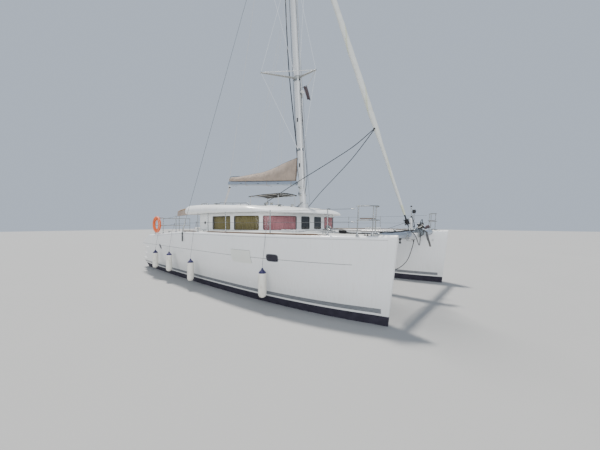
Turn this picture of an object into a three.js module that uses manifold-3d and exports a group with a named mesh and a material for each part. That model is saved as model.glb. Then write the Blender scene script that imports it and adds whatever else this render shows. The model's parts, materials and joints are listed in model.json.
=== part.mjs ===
// Sailing catamaran, twelve metres long, afloat: two hulls, a bridge deck with a cabin, and a mast.
// Millimetres. Origin on the waterline, amidships, on the centreline. +X forward, +Y port, +Z up.
import * as THREE from 'three';
import { mergeVertices } from 'three/addons/utils/BufferGeometryUtils.js';
import Module from 'manifold-3d';

const wasm = await Module();
wasm.setup();

// Driving dimensions
const gap = 0.3; // between pieces that touch
const swing = 6; // between pieces that move past each other
const hullCentre = 2510; // each hull's centreline, from the boat's own
const bowX = 6100;
const sternX = -5900;
const stemRake = 200; // the stem's foot is this far aft of its head
const knuckleZ = 1230; // crease along the topsides
const camber = 25;
const deckZ = 1840;
const tunnelZ = 850; // underside of the bridge deck
const saloonSole = 1000;
const cockpitSole = 1050;
const cabinAft = -1280;
const cabinWall = 50;
const cabinTop = 2450; // where the wall meets the roof
const windowLow = 1885;
const windowHigh = 2360;
const mastRake = 0.063; // aft, per unit of height
const mastFoot = [1560, 2830];
const mastTop = 19450;
const mastLong = 140; // half the mast's section, fore and aft
const mastWide = 100;
const goose = [1322, 3700]; // gooseneck pin, x and z
const boomEnd = [-3480, 4200];
const railHeight = 580;
const beamX = 5570; // forward crossbeam
const beamZ = 1800;
const stayFoot = [5420, 2350]; // where the headsail's roll starts
const stayRake = 0.32;
const rudderX = -5050;
const driveX = -4150;

// Looks: colour, roughness, metalness
const paint = (color, roughness, metalness = 0) => new THREE.MeshStandardMaterial({ color, roughness, metalness });
const looks = {
  gelcoat: paint(0xe4e6e4, 0.25),
  deck: paint(0xdedfdb, 0.6),
  antifoul: paint(0x23233a, 0.8),
  glass: paint(0x2a3034, 0.05),
  steel: paint(0xb0b4b4, 0.25, 1),
  alloy: paint(0xd2d4d6, 0.4, 0.8),
  canvas: paint(0xe1b996, 0.9),
  cover: paint(0xb49b87, 0.9),
  bimini: paint(0x504e4b, 0.9),
  sail: paint(0xe9ebe4, 0.8),
  black: paint(0x18191b, 0.6),
  orange: paint(0xe65a1e, 0.6),
  fender: paint(0xf0efe8, 0.5),
  wood: paint(0x7a5a3c, 0.6),
  bronze: paint(0x9c7a3c, 0.4, 1),
  galvanised: paint(0x8a8278, 0.6, 0.7),
};

// Solids
function solid(geometry) {
  const bare = geometry.clone();
  bare.deleteAttribute('normal');
  bare.deleteAttribute('uv');
  const merged = mergeVertices(bare, 0.001);
  const index = Array.from(merged.index.array);
  const triangles = [];
  for (let i = 0; i < index.length; i += 3) {
    const [a, b, c] = index.slice(i, i + 3);
    if (a !== b && b !== c && c !== a) triangles.push(a, b, c);
  }
  return new wasm.Manifold(new wasm.Mesh({
    numProp: 3,
    vertProperties: Float32Array.from(merged.attributes.position.array),
    triVerts: Uint32Array.from(triangles),
  }));
}

function geometryOf(body) {
  const mesh = body.getMesh();
  const geometry = new THREE.BufferGeometry();
  geometry.setAttribute('position', new THREE.BufferAttribute(Float32Array.from(mesh.vertProperties), 3));
  geometry.setIndex(Array.from(mesh.triVerts));
  geometry.computeVertexNormals();
  return geometry;
}

const join = (bodies) => bodies.reduce((all, body) => all.add(body));
const mirror = (body) => body.mirror([0, 1, 0]);

function box(low, high) {
  const size = high.map((value, i) => value - low[i]);
  const geometry = new THREE.BoxGeometry(...size);
  geometry.translate(...high.map((value, i) => (value + low[i]) / 2));
  return solid(geometry);
}

// A round bar from one point to another, with radii at its two ends
function rod(from, to, radius, sides = 6, endRadius = radius) {
  const start = new THREE.Vector3(...from);
  const end = new THREE.Vector3(...to);
  const way = end.clone().sub(start);
  const geometry = new THREE.CylinderGeometry(endRadius, radius, way.length(), sides);
  geometry.applyQuaternion(new THREE.Quaternion().setFromUnitVectors(
    new THREE.Vector3(0, 1, 0), way.clone().normalize()));
  geometry.translate(...start.add(end).multiplyScalar(0.5));
  return solid(geometry);
}

// Bars through a row of points, with a ball at each bend
function bars(points, radius, sides = 6) {
  const bodies = [];
  for (let i = 1; i < points.length; i += 1) bodies.push(rod(points[i - 1], points[i], radius, sides));
  for (const point of points.slice(1, -1)) {
    bodies.push(solid(new THREE.SphereGeometry(radius * 1.06, sides, 4)).translate(point));
  }
  return join(bodies);
}

// A bent tube through a row of points
function bend(points, radius, steps = 16, sides = 8) {
  const path = new THREE.CatmullRomCurve3(points.map((point) => new THREE.Vector3(...point)));
  const circle = new THREE.Shape();
  circle.absarc(0, 0, radius, 0, Math.PI * 2);
  return solid(new THREE.ExtrudeGeometry(circle, {
    steps, curveSegments: sides / 2, bevelEnabled: false, extrudePath: path,
  }));
}

// A turned body: rows of radius and height along its own axis, which starts at a point and runs a way
function turned(profile, from, way, sides = 16) {
  const geometry = new THREE.LatheGeometry(profile.map(([r, h]) => new THREE.Vector2(r, h)), sides);
  geometry.applyQuaternion(new THREE.Quaternion().setFromUnitVectors(
    new THREE.Vector3(0, 1, 0), new THREE.Vector3(...way).normalize()));
  geometry.translate(...from);
  return solid(geometry);
}

// A side view, as x and z, drawn out across the boat between two values of y
function slab(profile, lowY, highY) {
  const shape = new THREE.Shape(profile.map(([x, z]) => new THREE.Vector2(x, z)));
  const geometry = new THREE.ExtrudeGeometry(shape, { depth: highY - lowY, bevelEnabled: false });
  geometry.rotateX(Math.PI / 2);
  geometry.translate(0, highY, 0);
  return solid(geometry);
}

// A plan, as x and y, drawn up between two heights
function plate(plan, lowZ, highZ) {
  const shape = new THREE.Shape(plan.map(([x, y]) => new THREE.Vector2(x, y)));
  const geometry = new THREE.ExtrudeGeometry(shape, { depth: highZ - lowZ, bevelEnabled: false });
  geometry.translate(0, 0, lowZ);
  return solid(geometry);
}

// A skin over rings of points, closed by a fan at each end
function loft(rings) {
  const count = rings[0].length;
  const points = rings.flat();
  const middle = (ring) => [0, 1, 2].map((k) => ring.reduce((sum, p) => sum + p[k], 0) / count);
  const ends = [middle(rings[0]), middle(rings[rings.length - 1])];
  const index = [];
  for (let row = 1; row < rings.length; row += 1) {
    for (let i = 0; i < count; i += 1) {
      const next = (i + 1) % count;
      const [a, b] = [(row - 1) * count + i, (row - 1) * count + next];
      index.push(a, b, a + count, b, b + count, a + count);
    }
  }
  const last = (rings.length - 1) * count;
  for (let i = 0; i < count; i += 1) {
    const next = (i + 1) % count;
    index.push(points.length, next, i);
    index.push(points.length + 1, last + i, last + next);
  }
  const flat = [...points, ...ends].flat();
  let volume = 0;
  for (let i = 0; i < index.length; i += 3) {
    const [a, b, c] = index.slice(i, i + 3).map((k) => new THREE.Vector3().fromArray(flat, k * 3));
    volume += a.dot(b.cross(c));
  }
  if (volume < 0) index.reverse();
  const geometry = new THREE.BufferGeometry();
  geometry.setAttribute('position', new THREE.BufferAttribute(Float32Array.from(flat), 3));
  geometry.setIndex(index);
  return solid(geometry);
}

// A value between the rows of a table, on a smooth curve; the first column runs downwards
function between(table, column, x) {
  const rows = table.length;
  let i = 0;
  while (i < rows - 2 && x < table[i + 1][0]) i += 1;
  const slope = (k) => {
    const [a, b] = [table[Math.max(k - 1, 0)], table[Math.min(k + 1, rows - 1)]];
    return (b[column] - a[column]) / (b[0] - a[0]);
  };
  const [from, to] = [table[i], table[i + 1]];
  const span = to[0] - from[0];
  const t = (x - from[0]) / span;
  const rise = to[column] - from[column];
  const [m, n] = [slope(i) * span, slope(i + 1) * span];
  return from[column] + t * m + t * t * (3 * rise - 2 * m - n) + t * t * t * (m + n - 2 * rise);
}

const model = new THREE.Group();
function add(name, body, look) {
  const mesh = new THREE.Mesh(geometryOf(body), looks[look]);
  mesh.name = name;
  model.add(mesh);
}
// The same piece on both sides, made for starboard and mirrored
function addPair(name, body, look) {
  add(`${name}_starboard`, body, look);
  add(`${name}_port`, mirror(body), look);
}

// Hulls. Columns: x, then half breadths at the deck outboard, at the knuckle outboard, at the
// deck inboard and at the waterline, then the height of the sheer and of the canoe body's bottom.
const stations = [
  [6100, 45, 38, 40, 18, 1840, -40],
  [5800, 200, 150, 150, 70, 1840, -190],
  [5500, 330, 265, 240, 135, 1840, -300],
  [5000, 520, 445, 340, 235, 1840, -420],
  [4000, 800, 720, 480, 395, 1840, -540],
  [3000, 970, 900, 560, 500, 1840, -600],
  [2000, 1070, 1005, 600, 565, 1840, -625],
  [0, 1100, 1040, 620, 620, 1835, -625],
  [-1300, 1100, 1040, 620, 620, 1810, -600],
  [-3650, 1095, 1035, 620, 580, 1655, -440],
  [-5000, 1080, 1020, 620, 520, 1630, -230],
  [-5900, 1060, 1000, 610, 470, 1620, -60],
];
const stationSteps = 24;

// Points of one hull section from the keel line up one side, as distance out and height
function halfSection(x, deckColumn, kneeOut, grow) {
  const deckOut = between(stations, deckColumn, x);
  const water = between(stations, 4, x);
  const sheer = between(stations, 5, x);
  const depth = between(stations, 6, x);
  const points = [];
  for (let i = 1; i <= 5; i += 1) {
    const turn = (i / 5) * (Math.PI / 2);
    points.push([water * Math.sin(turn) ** 0.85, depth * Math.cos(turn) ** 0.9]);
  }
  points.push([water + (kneeOut - water) * 0.56, knuckleZ * 0.5]);
  points.push([kneeOut, knuckleZ]);
  const round = Math.min(60, deckOut * 0.4);
  points.push([deckOut, sheer - round], [deckOut - round * 0.3, sheer - round * 0.3], [deckOut - round, sheer]);
  return points.map(([out, z], i) => [out + grow, z + (i === 9 ? grow : 0)]);
}

function hullForm(grow = 0) {
  const rings = [];
  for (let i = 0; i <= stationSteps; i += 1) {
    const t = i / stationSteps;
    const x = bowX + (sternX - bowX) * (0.55 * t + 0.45 * t * t);
    const outboard = halfSection(x, 1, between(stations, 2, x), grow);
    const inboard = halfSection(x, 3, between(stations, 3, x) * 0.97, grow);
    const bottom = between(stations, 6, x);
    const sheer = between(stations, 5, x);
    const lean = stemRake * Math.max(0, (x - 4600) / (bowX - 4600));
    const place = ([out, z]) => [x - lean * (1 - z / deckZ), -hullCentre - out, z];
    const ring = [place([0, bottom - grow]), ...outboard.map(place), place([0, sheer + camber + grow])];
    for (const [out, z] of inboard.reverse()) ring.push(place([-out, z]));
    rings.push(ring);
  }
  return loft(rings);
}

// The stern: a sweep down to the water, and treads cut into it inside a bulwark
const sweepTop = -3650;
const bulwark = 90;
const treads = [ // x where each tread starts, its height
  [-3850, 1350],
  [-4400, 1060],
  [-4900, 770],
  [-5350, 480],
];
function sternCut() {
  const sweep = [[sweepTop, 1900]];
  const arc = new THREE.QuadraticBezierCurve(
    new THREE.Vector2(sweepTop, 1680), new THREE.Vector2(-4750, 1560), new THREE.Vector2(sternX - 20, 560));
  for (const point of arc.getPoints(8)) sweep.push([point.x, point.y]);
  sweep.push([sternX - 20, 1900]);
  const steps = [[treads[0][0], 1900]];
  treads.forEach(([x, z], i) => {
    steps.push([x, z], [i < 3 ? treads[i + 1][0] : sternX - 20, z]);
  });
  steps.push([sternX - 20, 1900]);
  const inner = -hullCentre - between(stations, 1, -4900) + bulwark;
  return slab(sweep, -hullCentre - 1400, -hullCentre + 900).add(slab(steps, inner, -hullCentre + 900));
}

// Blind holes for the rudder's stock and the deck hatch's hinge
const stockRadius = 28;
const stockTop = 60;
const hatch = { x: 3050, long: 520, wide: 480, frame: 35, lid: 28, barrel: 120 }; // barrel is half the hinge's length

const eye = [5680, -2290, 1500]; // bridle eye on the bow's inner side

function hullBody() {
  const stockHole = rod([rudderX, -hullCentre, -600], [rudderX, -hullCentre, stockTop + gap], stockRadius + 1.5, 24);
  const frame = box(
    [hatch.x, -hullCentre - hatch.wide / 2, deckZ - 20],
    [hatch.x + hatch.long, -hullCentre + hatch.wide / 2, deckZ + camber + hatch.frame]);
  const lidLow = deckZ + camber + hatch.frame + swing;
  const knuckles = [-1, 1].map((side) => {
    const ends = [hatch.barrel + gap, hatch.barrel + 40].map((y) => -hullCentre + side * y).sort((a, b) => a - b);
    return box([hatch.x + hatch.long + 4, ends[0], deckZ - 20], [hatch.x + hatch.long + 28, ends[1], lidLow + 15]);
  });
  const pad = box([eye[0] - 15, eye[1] - 80, eye[2]], [eye[0] + 15, eye[1] + 35, eye[2] + 35]);
  return join([hullForm(), frame, pad, ...knuckles]).subtract(sternCut()).subtract(stockHole);
}
const hull = hullBody();
addPair('hull', hull, 'gelcoat');
const hullsWhole = hullForm(gap).add(mirror(hullForm(gap)));
const hullsGrown = hullsWhole.subtract(sternCut()).subtract(mirror(sternCut()));

// Deck hatch lid, hinged on its forward edge
function hatchLid() {
  const low = deckZ + camber + hatch.frame + swing;
  const lid = box(
    [hatch.x, -hullCentre - hatch.wide / 2, low], [hatch.x + hatch.long, -hullCentre + hatch.wide / 2, low + hatch.lid]);
  const barrelX = hatch.x + hatch.long + 14;
  const barrel = rod(
    [barrelX, -hullCentre - hatch.barrel, low + 6], [barrelX, -hullCentre + hatch.barrel, low + 6], 9, 12);
  const leaf = box(
    [hatch.x + hatch.long - 20, -hullCentre - hatch.barrel, low + 2], [barrelX, -hullCentre + hatch.barrel, low + 14]);
  return lid.add(barrel).add(leaf);
}
addPair('hatch_lid', hatchLid(), 'glass');

// Stub keels under the hulls. Columns: height, x of the leading edge, x of the trailing edge, half thickness.
const keelRows = [
  [-480, 900, -1500, 95],
  [-900, 760, -1420, 85],
  [-1150, 620, -1330, 75],
  [-1220, 520, -1260, 45],
];
function foil(leading, trailing, half, centreY, z, sides = 16) {
  const ring = [];
  for (let i = 0; i < sides; i += 1) {
    const turn = (i / sides) * Math.PI * 2;
    const along = (1 - Math.cos(turn)) / 2;
    const thick = half * Math.sin(turn) * (1.25 - 0.6 * along);
    ring.push([leading + (trailing - leading) * along, centreY + thick, z]);
  }
  return ring;
}
const keelRings = keelRows.map(([z, leading, trailing, half]) => foil(leading, trailing, half, -hullCentre, z));
addPair('keel', loft(keelRings).subtract(hullForm(gap)), 'antifoul');

// Bridge deck between the hulls, with the saloon's and the cockpit's wells
const doorLow = -150;
const doorHigh = 700;
const doorTop = 2390;
const wellHalf = 1830;
const helmPlatform = 1150; // the cockpit well stops here to port
function deckBlock() {
  const profile = [
    [3050, deckZ], [0, deckZ], [-1300, 1812], [-3650, 1655], [-4900, 1640],
    [-4900, 1000], [-4700, tunnelZ], [2100, tunnelZ], [2700, 1150], [3050, 1500],
  ];
  const saloon = box([cabinAft + 80, -wellHalf, saloonSole], [1850, wellHalf, 2000]);
  const cockpit = box([-4600, -wellHalf, cockpitSole], [cabinAft, helmPlatform, 2000]);
  const door = box([cabinAft - 10, doorLow, cockpitSole], [cabinAft + 90, doorHigh, 2000]);
  return slab(profile, -2450, 2450).subtract(saloon).subtract(cockpit).subtract(door);
}
const deck = deckBlock().subtract(hullsWhole);
add('bridge_deck', deck, 'gelcoat');
// What stands on the decks clears them by twice the gap, so that it also clears the joints between them
const hullsOver = hullForm(2 * gap).subtract(sternCut());
const decksGrown = hullsOver.add(mirror(hullsOver)).add(deckBlock()).add(deckBlock().translate(0, 0, 2 * gap));

// Plans of the cabin: points of the starboard half from the bow end aft, joined by a smooth curve
function planHalf(points, count) {
  const curve = new THREE.CatmullRomCurve3(points.map(([x, y]) => new THREE.Vector3(x, -y, 0)));
  return curve.getSpacedPoints(count).map((p) => [p.x, p.y]);
}
function fullPlan(half) {
  const other = half.slice(1).map(([x, y]) => [x, -y]).reverse();
  return [...other, ...half];
}
// The shift that moves a corner of a plan out by a distance, square to both of its edges
function mitre(before, point, after, distance) {
  const normals = [[before, point], [point, after]].map(([a, b]) => {
    const way = new THREE.Vector2(b[0] - a[0], b[1] - a[1]).normalize();
    return new THREE.Vector2(-way.y, way.x);
  });
  const share = distance / (1 + normals[0].dot(normals[1]));
  return [point[0] + (normals[0].x + normals[1].x) * share, point[1] + (normals[0].y + normals[1].y) * share];
}
// Moves each edge of a closed plan in by a distance
function inset(plan, distance) {
  const count = plan.length;
  return plan.map((point, i) => mitre(
    plan[(i + count - 1) % count], point, plan[(i + 1) % count], -distance));
}

const cabinHalf = planHalf([
  [2000, 0], [1965, 900], [1880, 1700], [1500, 2150], [1150, 2400], [700, 2560], [0, 2660], [cabinAft, 2750],
], 26);
const cabinPlan = fullPlan(cabinHalf);
const windows = [ // from and to, along the plan from the middle of the front
  [140, 610],
  [850, 2200],
  [2330, 3250],
  [3420, 4390],
];

function planRun(half, from, to) {
  const run = [];
  let along = 0;
  for (let i = 0; i < half.length; i += 1) {
    if (i > 0) {
      const [a, b] = [half[i - 1], half[i]];
      const step = Math.hypot(b[0] - a[0], b[1] - a[1]);
      for (const mark of [from, to]) {
        const t = (mark - along) / step;
        if (t > 0 && t <= 1) run.push([a[0] + (b[0] - a[0]) * t, a[1] + (b[1] - a[1]) * t]);
      }
      along += step;
    }
    if (along > from + 1 && along < to - 1) run.push(half[i]);
  }
  return run.sort((a, b) => b[0] - a[0]);
}

// An upright band that follows a stretch of the plan
function band(half, from, to, outer, inner, lowZ, highZ) {
  const run = planRun(half, from, to);
  const last = run.length - 1;
  const shifted = (distance) => run.map((point, i) => {
    const before = i > 0 ? run[i - 1] : [2 * point[0] - run[1][0], 2 * point[1] - run[1][1]];
    const after = i < last ? run[i + 1] : [2 * point[0] - run[last - 1][0], 2 * point[1] - run[last - 1][1]];
    return mitre(before, point, after, distance);
  });
  return plate([...shifted(outer), ...shifted(inner).reverse()], lowZ, highZ);
}

function cabinShell() {
  const outer = plate(cabinPlan, 1600, cabinTop - gap);
  const inside = plate(inset(cabinPlan, cabinWall), 1500, 2600);
  const bodies = windows.map(([from, to]) => band(cabinHalf, from, to, 60, -110, windowLow, windowHigh));
  const panes = join(bodies);
  const door = box([cabinAft - 60, doorLow, 1500], [cabinAft + 90, doorHigh, 2380]);
  const track = box([cabinAft - 40, doorLow - 920, doorTop + gap], [cabinAft + 10, doorHigh + 60, doorTop + 40]);
  return outer.subtract(inside).subtract(panes).subtract(mirror(panes)).subtract(door).subtract(decksGrown).add(track);
}
add('cabin_wall', cabinShell(), 'gelcoat');

// One bent pane runs behind all the windows
const glassFrom = inset(cabinPlan, cabinWall + gap);
const glassTo = inset(cabinPlan, cabinWall + gap + 8);
function glassBand() {
  const ring = plate(glassFrom, windowLow - 15, windowHigh + 15).subtract(plate(glassTo, 1500, 2600));
  return ring.intersect(box([-700, -3000, 1500], [2100, 3000, 2600]));
}
add('window_glass', glassBand(), 'glass');

// Roof: a slab with a fat round edge, which thins to a visor at the front
const roofHalf = planHalf([
  [2400, 0], [2355, 950], [2190, 1760], [1760, 2320], [1150, 2700], [0, 2900], [cabinAft, 2990],
  [-2000, 2990], [-2150, 2900], [-2200, 2600], [-2200, 0],
], 34);
const roofPlan = fullPlan(roofHalf.slice(0, -1));
const roofRows = [ // inset at the sides and aft, inset at the front, share of the crown's height
  [130, 60, 0],
  [50, 20, 0.03],
  [10, 0, 0.14],
  [0, 40, 0.3],
  [25, 130, 0.52],
  [110, 290, 0.74],
  [300, 480, 0.88],
  [650, 760, 0.96],
];
// From 0 at one value to 1 at another, with a soft start and end
function ease(value, from, to) {
  const t = Math.min(1, Math.max(0, (value - from) / (to - from)));
  return t * t * (3 - 2 * t);
}
const crownAft = 430;
const crownFore = 255;
const crown = (x) => crownAft + (crownFore - crownAft) * ease(x, -1600, 2430);
function roofForm() {
  return loft(roofRows.map(([side, front, share]) => {
    const [square, visor] = [inset(roofPlan, side), inset(roofPlan, front)];
    return roofPlan.map((point, i) => {
      const t = ease(point[0], 1200, 2200);
      const [x, y] = [0, 1].map((k) => square[i][k] + (visor[i][k] - square[i][k]) * t);
      return [x, y, cabinTop + share * crown(x)];
    });
  }));
}
const helmCut = [cabinAft - 20, 1180]; // the helm stands in the roof's port quarter
function roofBody() {
  const head = box([-1050, -1950, 2300], [200, 1950, 2750]).add(box([-1050, -1950, 2300], [1300, 1950, 2670]));
  const helm = box([-2400, helmCut[1], 2300], [helmCut[0], 3200, 3000]);
  return roofForm().subtract(head).subtract(helm);
}
const roof = roofBody();
add('cabin_roof', roof, 'gelcoat');

// Saloon door: a sliding panel on the aft bulkhead
function saloonDoor() {
  const x = cabinAft - swing;
  return box([x - 28, doorLow - 40, cockpitSole + swing], [x, doorHigh + 40, doorTop]);
}
add('saloon_door', saloonDoor(), 'glass');

// Inside the saloon
add('saloon_table', join([
  box([300, -1500, 1640], [1250, -700, 1670]),
  rod([775, -1100, saloonSole + gap], [775, -1100, 1650], 45, 12),
]), 'wood');
add('saloon_seat', join([
  box([1400, -wellHalf + gap, saloonSole + gap], [1850 - gap, -300, 1400]),
  box([-500, -wellHalf + gap, saloonSole + gap], [1450, -1600, 1400]),
]), 'canvas');

// Cockpit bench across the stern, and the helm
add('cockpit_bench', join([
  box([-4600 + gap, -1300, cockpitSole + gap], [-4020, 1000, 1480]),
  box([-4600 + gap, -1300, 1400], [-4450, 1000, 1900]),
]), 'deck');

const helmY = 1900;
add('helm_seat', join([
  box([-3000, 1450, 1600], [-2560, 2350, 2300]),
  box([-3000, 1450, 2250], [-2900, 2350, 2720]),
]).subtract(decksGrown), 'deck');

const wheelCentre = [-1800, helmY, 2560];
const wheelWay = [-0.94, 0, 0.34];
const wheelRadius = 340;
const podFace = 60; // from the wheel's plane to the pod, along the shaft
const along = (start, way, distance) => {
  const unit = new THREE.Vector3(...way).normalize();
  return start.map((value, i) => value + unit.getComponent(i) * distance);
};
add('helm_pod', slab([
  [-1310, 1600], [-1310, 2870], [-1560, 2870], [-1790, 2230], [-1700, 1600],
], helmY - 330, helmY + 330)
  .add(turned([[0, -150], [45, -150], [45, podFace - 59.5], [0, podFace - 59.5]],
    along(wheelCentre, wheelWay, -podFace), wheelWay, 12))
  .subtract(decksGrown), 'gelcoat');

function steeringWheel() {
  const rim = [];
  for (let i = 0; i <= 6; i += 1) {
    const turn = (i / 6) * Math.PI * 2;
    rim.push([wheelRadius + 15 * Math.cos(turn), 15 * Math.sin(turn)]);
  }
  const bodies = [turned(rim, wheelCentre, wheelWay, 24)];
  bodies.push(turned([[0, -59], [38, -59], [38, 20], [0, 20]], wheelCentre, wheelWay, 12));
  const side = new THREE.Vector3(...wheelWay).normalize();
  for (let i = 0; i < 5; i += 1) {
    const spoke = new THREE.Vector3(0, wheelRadius, 0).applyAxisAngle(side, (i / 5) * Math.PI * 2);
    bodies.push(rod(wheelCentre, wheelCentre.map((v, k) => v + spoke.getComponent(k)), 9, 6));
  }
  return join(bodies);
}
add('steering_wheel', steeringWheel(), 'steel');

// Bimini over the helm: four posts with cross bars, and a canopy on them
const biminiPosts = [ // x, y of each post
  [-1150, 1300],
  [-1150, 2560],
  [-3350, 1300],
  [-3350, 2560],
];
const biminiLow = 3600;
function biminiFrame() {
  const bodies = biminiPosts.map(([x, y]) => rod([x, y, 1500], [x, y, biminiLow], 13));
  for (const x of [-1150, -3350]) bodies.push(bars([[x, 1300, biminiLow], [x, 2560, biminiLow]], 13));
  for (const y of [1300, 2560]) bodies.push(bars([[-1150, y, biminiLow], [-3350, y, biminiLow]], 13));
  for (const [x, y] of biminiPosts) bodies.push(solid(new THREE.SphereGeometry(16, 6, 4)).translate([x, y, biminiLow]));
  return join(bodies).subtract(roof.translate(0, 0, gap)).subtract(decksGrown);
}
const frameCut = biminiFrame().decompose().sort((a, b) => b.volume() - a.volume())[0];
add('bimini_frame', frameCut, 'steel');

function canopy(lowX, highX, lowY, highY, z, rise, thick) {
  const rings = [];
  const across = 10;
  for (let i = 0; i <= 8; i += 1) {
    const u = i / 8;
    const x = lowX + (highX - lowX) * u;
    const upper = [];
    const lower = [];
    for (let k = 0; k <= across; k += 1) {
      const v = k / across;
      const y = lowY + (highY - lowY) * v;
      const bulge = rise * (1 - (2 * u - 1) ** 2) * 0.5 + rise * (1 - (2 * v - 1) ** 2);
      upper.push([x, y, z + thick + bulge]);
      lower.push([x, y, z + bulge]);
    }
    rings.push([...upper, ...lower.reverse()]);
  }
  return loft(rings);
}
add('bimini_canopy', canopy(-3420, -1080, 1230, 2630, biminiLow + 3.5 + gap, 45, 22), 'bimini');

// Awning behind the roof, on a bar with two poles
const awning = { fore: -2100, aft: -3200, low: -2750, high: 1080, foreZ: 2680, aftZ: 2600, thick: 25, lift: 80 };
function awningCanopy() {
  const rings = [];
  const middle = (awning.fore + awning.aft) / 2;
  for (let i = 0; i <= 8; i += 1) {
    const y = awning.low + (awning.high - awning.low) * (i / 8);
    const lift = awning.lift * (1 - (i / 4 - 1) ** 2);
    rings.push([
      [awning.fore, y, awning.foreZ + lift * 0.6], [awning.fore, y, awning.foreZ + awning.thick + lift * 0.6],
      [middle, y, awning.foreZ + awning.thick + lift + 20], [awning.aft, y, awning.aftZ + awning.thick],
      [awning.aft, y, awning.aftZ], [middle, y, awning.foreZ + lift + 20],
    ]);
  }
  return loft(rings);
}
add('awning_canopy', awningCanopy().subtract(roof.translate(-gap, 0, 0)), 'canvas');
function awningFrame() {
  const z = awning.aftZ - 14 - gap;
  const ends = [[awning.low + 60, 1500], [awning.high - 60, cockpitSole + gap]]; // y and foot of each pole
  const poles = ends.map(([y, foot]) => rod([awning.aft, y, foot], [awning.aft, y, z], 14));
  const bar = rod([awning.aft, ends[0][0] - 14, z], [awning.aft, ends[1][0] + 14, z], 14);
  return join([bar, ...poles]).subtract(decksGrown);
}
add('awning_frame', awningFrame(), 'steel');

// Mast, raked aft, stepped on the roof
const rakeWay = new THREE.Vector3(-mastRake, 0, 1).normalize();
const mastX = (z) => mastFoot[0] - mastRake * (z - mastFoot[1]);
function ovalRing(z, long, wide, sides = 16) {
  const ring = [];
  for (let i = 0; i < sides; i += 1) {
    const turn = (i / sides) * Math.PI * 2;
    ring.push([mastX(z) + long * Math.cos(turn), wide * Math.sin(turn), z]);
  }
  return ring;
}
const pin = (from, to, radius, sides) => rod(
  along([goose[0], 0, goose[1]], rakeWay.toArray(), from), along([goose[0], 0, goose[1]], rakeWay.toArray(), to),
  radius, sides);
function mastBody() {
  const tube = loft([
    ovalRing(2500, mastLong, mastWide), ovalRing(18600, mastLong, mastWide), ovalRing(mastTop, 95, 70),
  ]);
  const step = loft([ovalRing(2500, 210, 165), ovalRing(mastFoot[1] + 40, 210, 165)]);
  const lugs = [-60, 60].map((up) => join([
    pin(up - 15, up + 15, 38, 16),
    box([goose[0], -34, goose[1] + up - 10], [mastX(goose[1]), 34, goose[1] + up + 10]),
  ]));
  return join([tube, step, pin(-76, 76, 14, 16), ...lugs]).subtract(roof.translate(0, 0, gap));
}
add('mast', mastBody(), 'alloy');

// Spreader sets. Columns: height on the mast, reach out, reach aft, reach forward.
const spreaderSets = [
  ['spreaders_lower', 7895, 1220, 760, 940],
  ['spreaders_upper', 12500, 980, 600, 760],
];
const spreaderDroop = 30; // the tips lie this far below the roots
const spreaderBar = [45, 6, 30]; // radius at the root, sides, radius at the tip
for (const [name, z, out, aft, forward] of spreaderSets) {
  const collar = loft([ovalRing(z - 60, 175, 135), ovalRing(z + 60, 175, 135)])
    .subtract(loft([ovalRing(z - 90, mastLong + gap, mastWide + gap), ovalRing(z + 90, mastLong + gap, mastWide + gap)]));
  const centre = mastX(z);
  const tipZ = z - spreaderDroop;
  const tips = [[centre - aft, -out, tipZ], [centre - aft, out, tipZ], [centre + forward, 0, tipZ]];
  const struts = [
    rod([centre - 60, -mastWide - 20, z], tips[0], ...spreaderBar),
    rod([centre - 60, mastWide + 20, z], tips[1], ...spreaderBar),
    rod([centre + mastLong + 15, 0, z], tips[2], ...spreaderBar),
  ];
  const ties = [rod(tips[0], tips[2], 12, 4), rod(tips[2], tips[1], 12, 4)];
  const balls = tips.map((tip) => solid(new THREE.SphereGeometry(38, 6, 4)).translate(tip));
  add(name, join([collar, ...struts, ...ties, ...balls]), 'alloy');
}

// Boom on the gooseneck, with the sail stowed in its cover on top
const boomWay = new THREE.Vector3(boomEnd[0] - goose[0], 0, boomEnd[1] - goose[1]);
const boomLength = boomWay.length();
boomWay.normalize();
const boomUp = new THREE.Vector3(boomWay.z, 0, -boomWay.x);
if (boomUp.z < 0) boomUp.negate();
// A point on the boom: distance from the pin, to port, and above its middle line
const onBoom = (distance, y, up) => [
  goose[0] + boomWay.x * distance + boomUp.x * up, y, goose[1] + boomWay.z * distance + boomUp.z * up];
function boomRing(distance, wide, high) {
  const ring = [];
  for (let i = 0; i < 16; i += 1) {
    const turn = (i / 16) * Math.PI * 2;
    const [c, s] = [Math.cos(turn), Math.sin(turn)];
    ring.push(onBoom(distance, wide * Math.sign(c) * Math.abs(c) ** 0.6, high * Math.sign(s) * Math.abs(s) ** 0.6));
  }
  return ring;
}
const boomHigh = 100;
function boomBody() {
  const tube = loft([boomRing(110, 66, 85), boomRing(160, 75, boomHigh), boomRing(boomLength - 30, 75, boomHigh),
    boomRing(boomLength, 55, 70)]);
  const eye = pin(-45 + gap, 45 - gap, 34, 16).subtract(pin(-50, 50, 16, 16));
  const fork = box([goose[0] - 140, -22, goose[1] - 34], [goose[0] - 22, 22, goose[1] + 34]);
  return join([tube, eye.add(fork)]);
}
add('boom', boomBody(), 'alloy');

// Columns: distance from the pin, height above the boom's top, half width
const coverRows = [
  [170, 930, 55],
  [450, 850, 90],
  [900, 730, 125],
  [1500, 560, 140],
  [2250, 390, 140],
  [3200, 300, 125],
  [4050, 230, 110],
  [4780, 160, 80],
];
function coverRing([distance, height, half]) {
  const low = boomHigh + gap;
  const side = [[0.75, 0], [1, 0.18], [0.95, 0.45], [0.55, 0.8], [0.18, 1]];
  const right = side.map(([w, h]) => onBoom(distance, -half * w, low + height * h));
  const left = side.map(([w, h]) => onBoom(distance, half * w, low + height * h)).reverse();
  return [...right, ...left];
}
add('sail_cover', loft(coverRows.map(coverRing)), 'cover');

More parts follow.
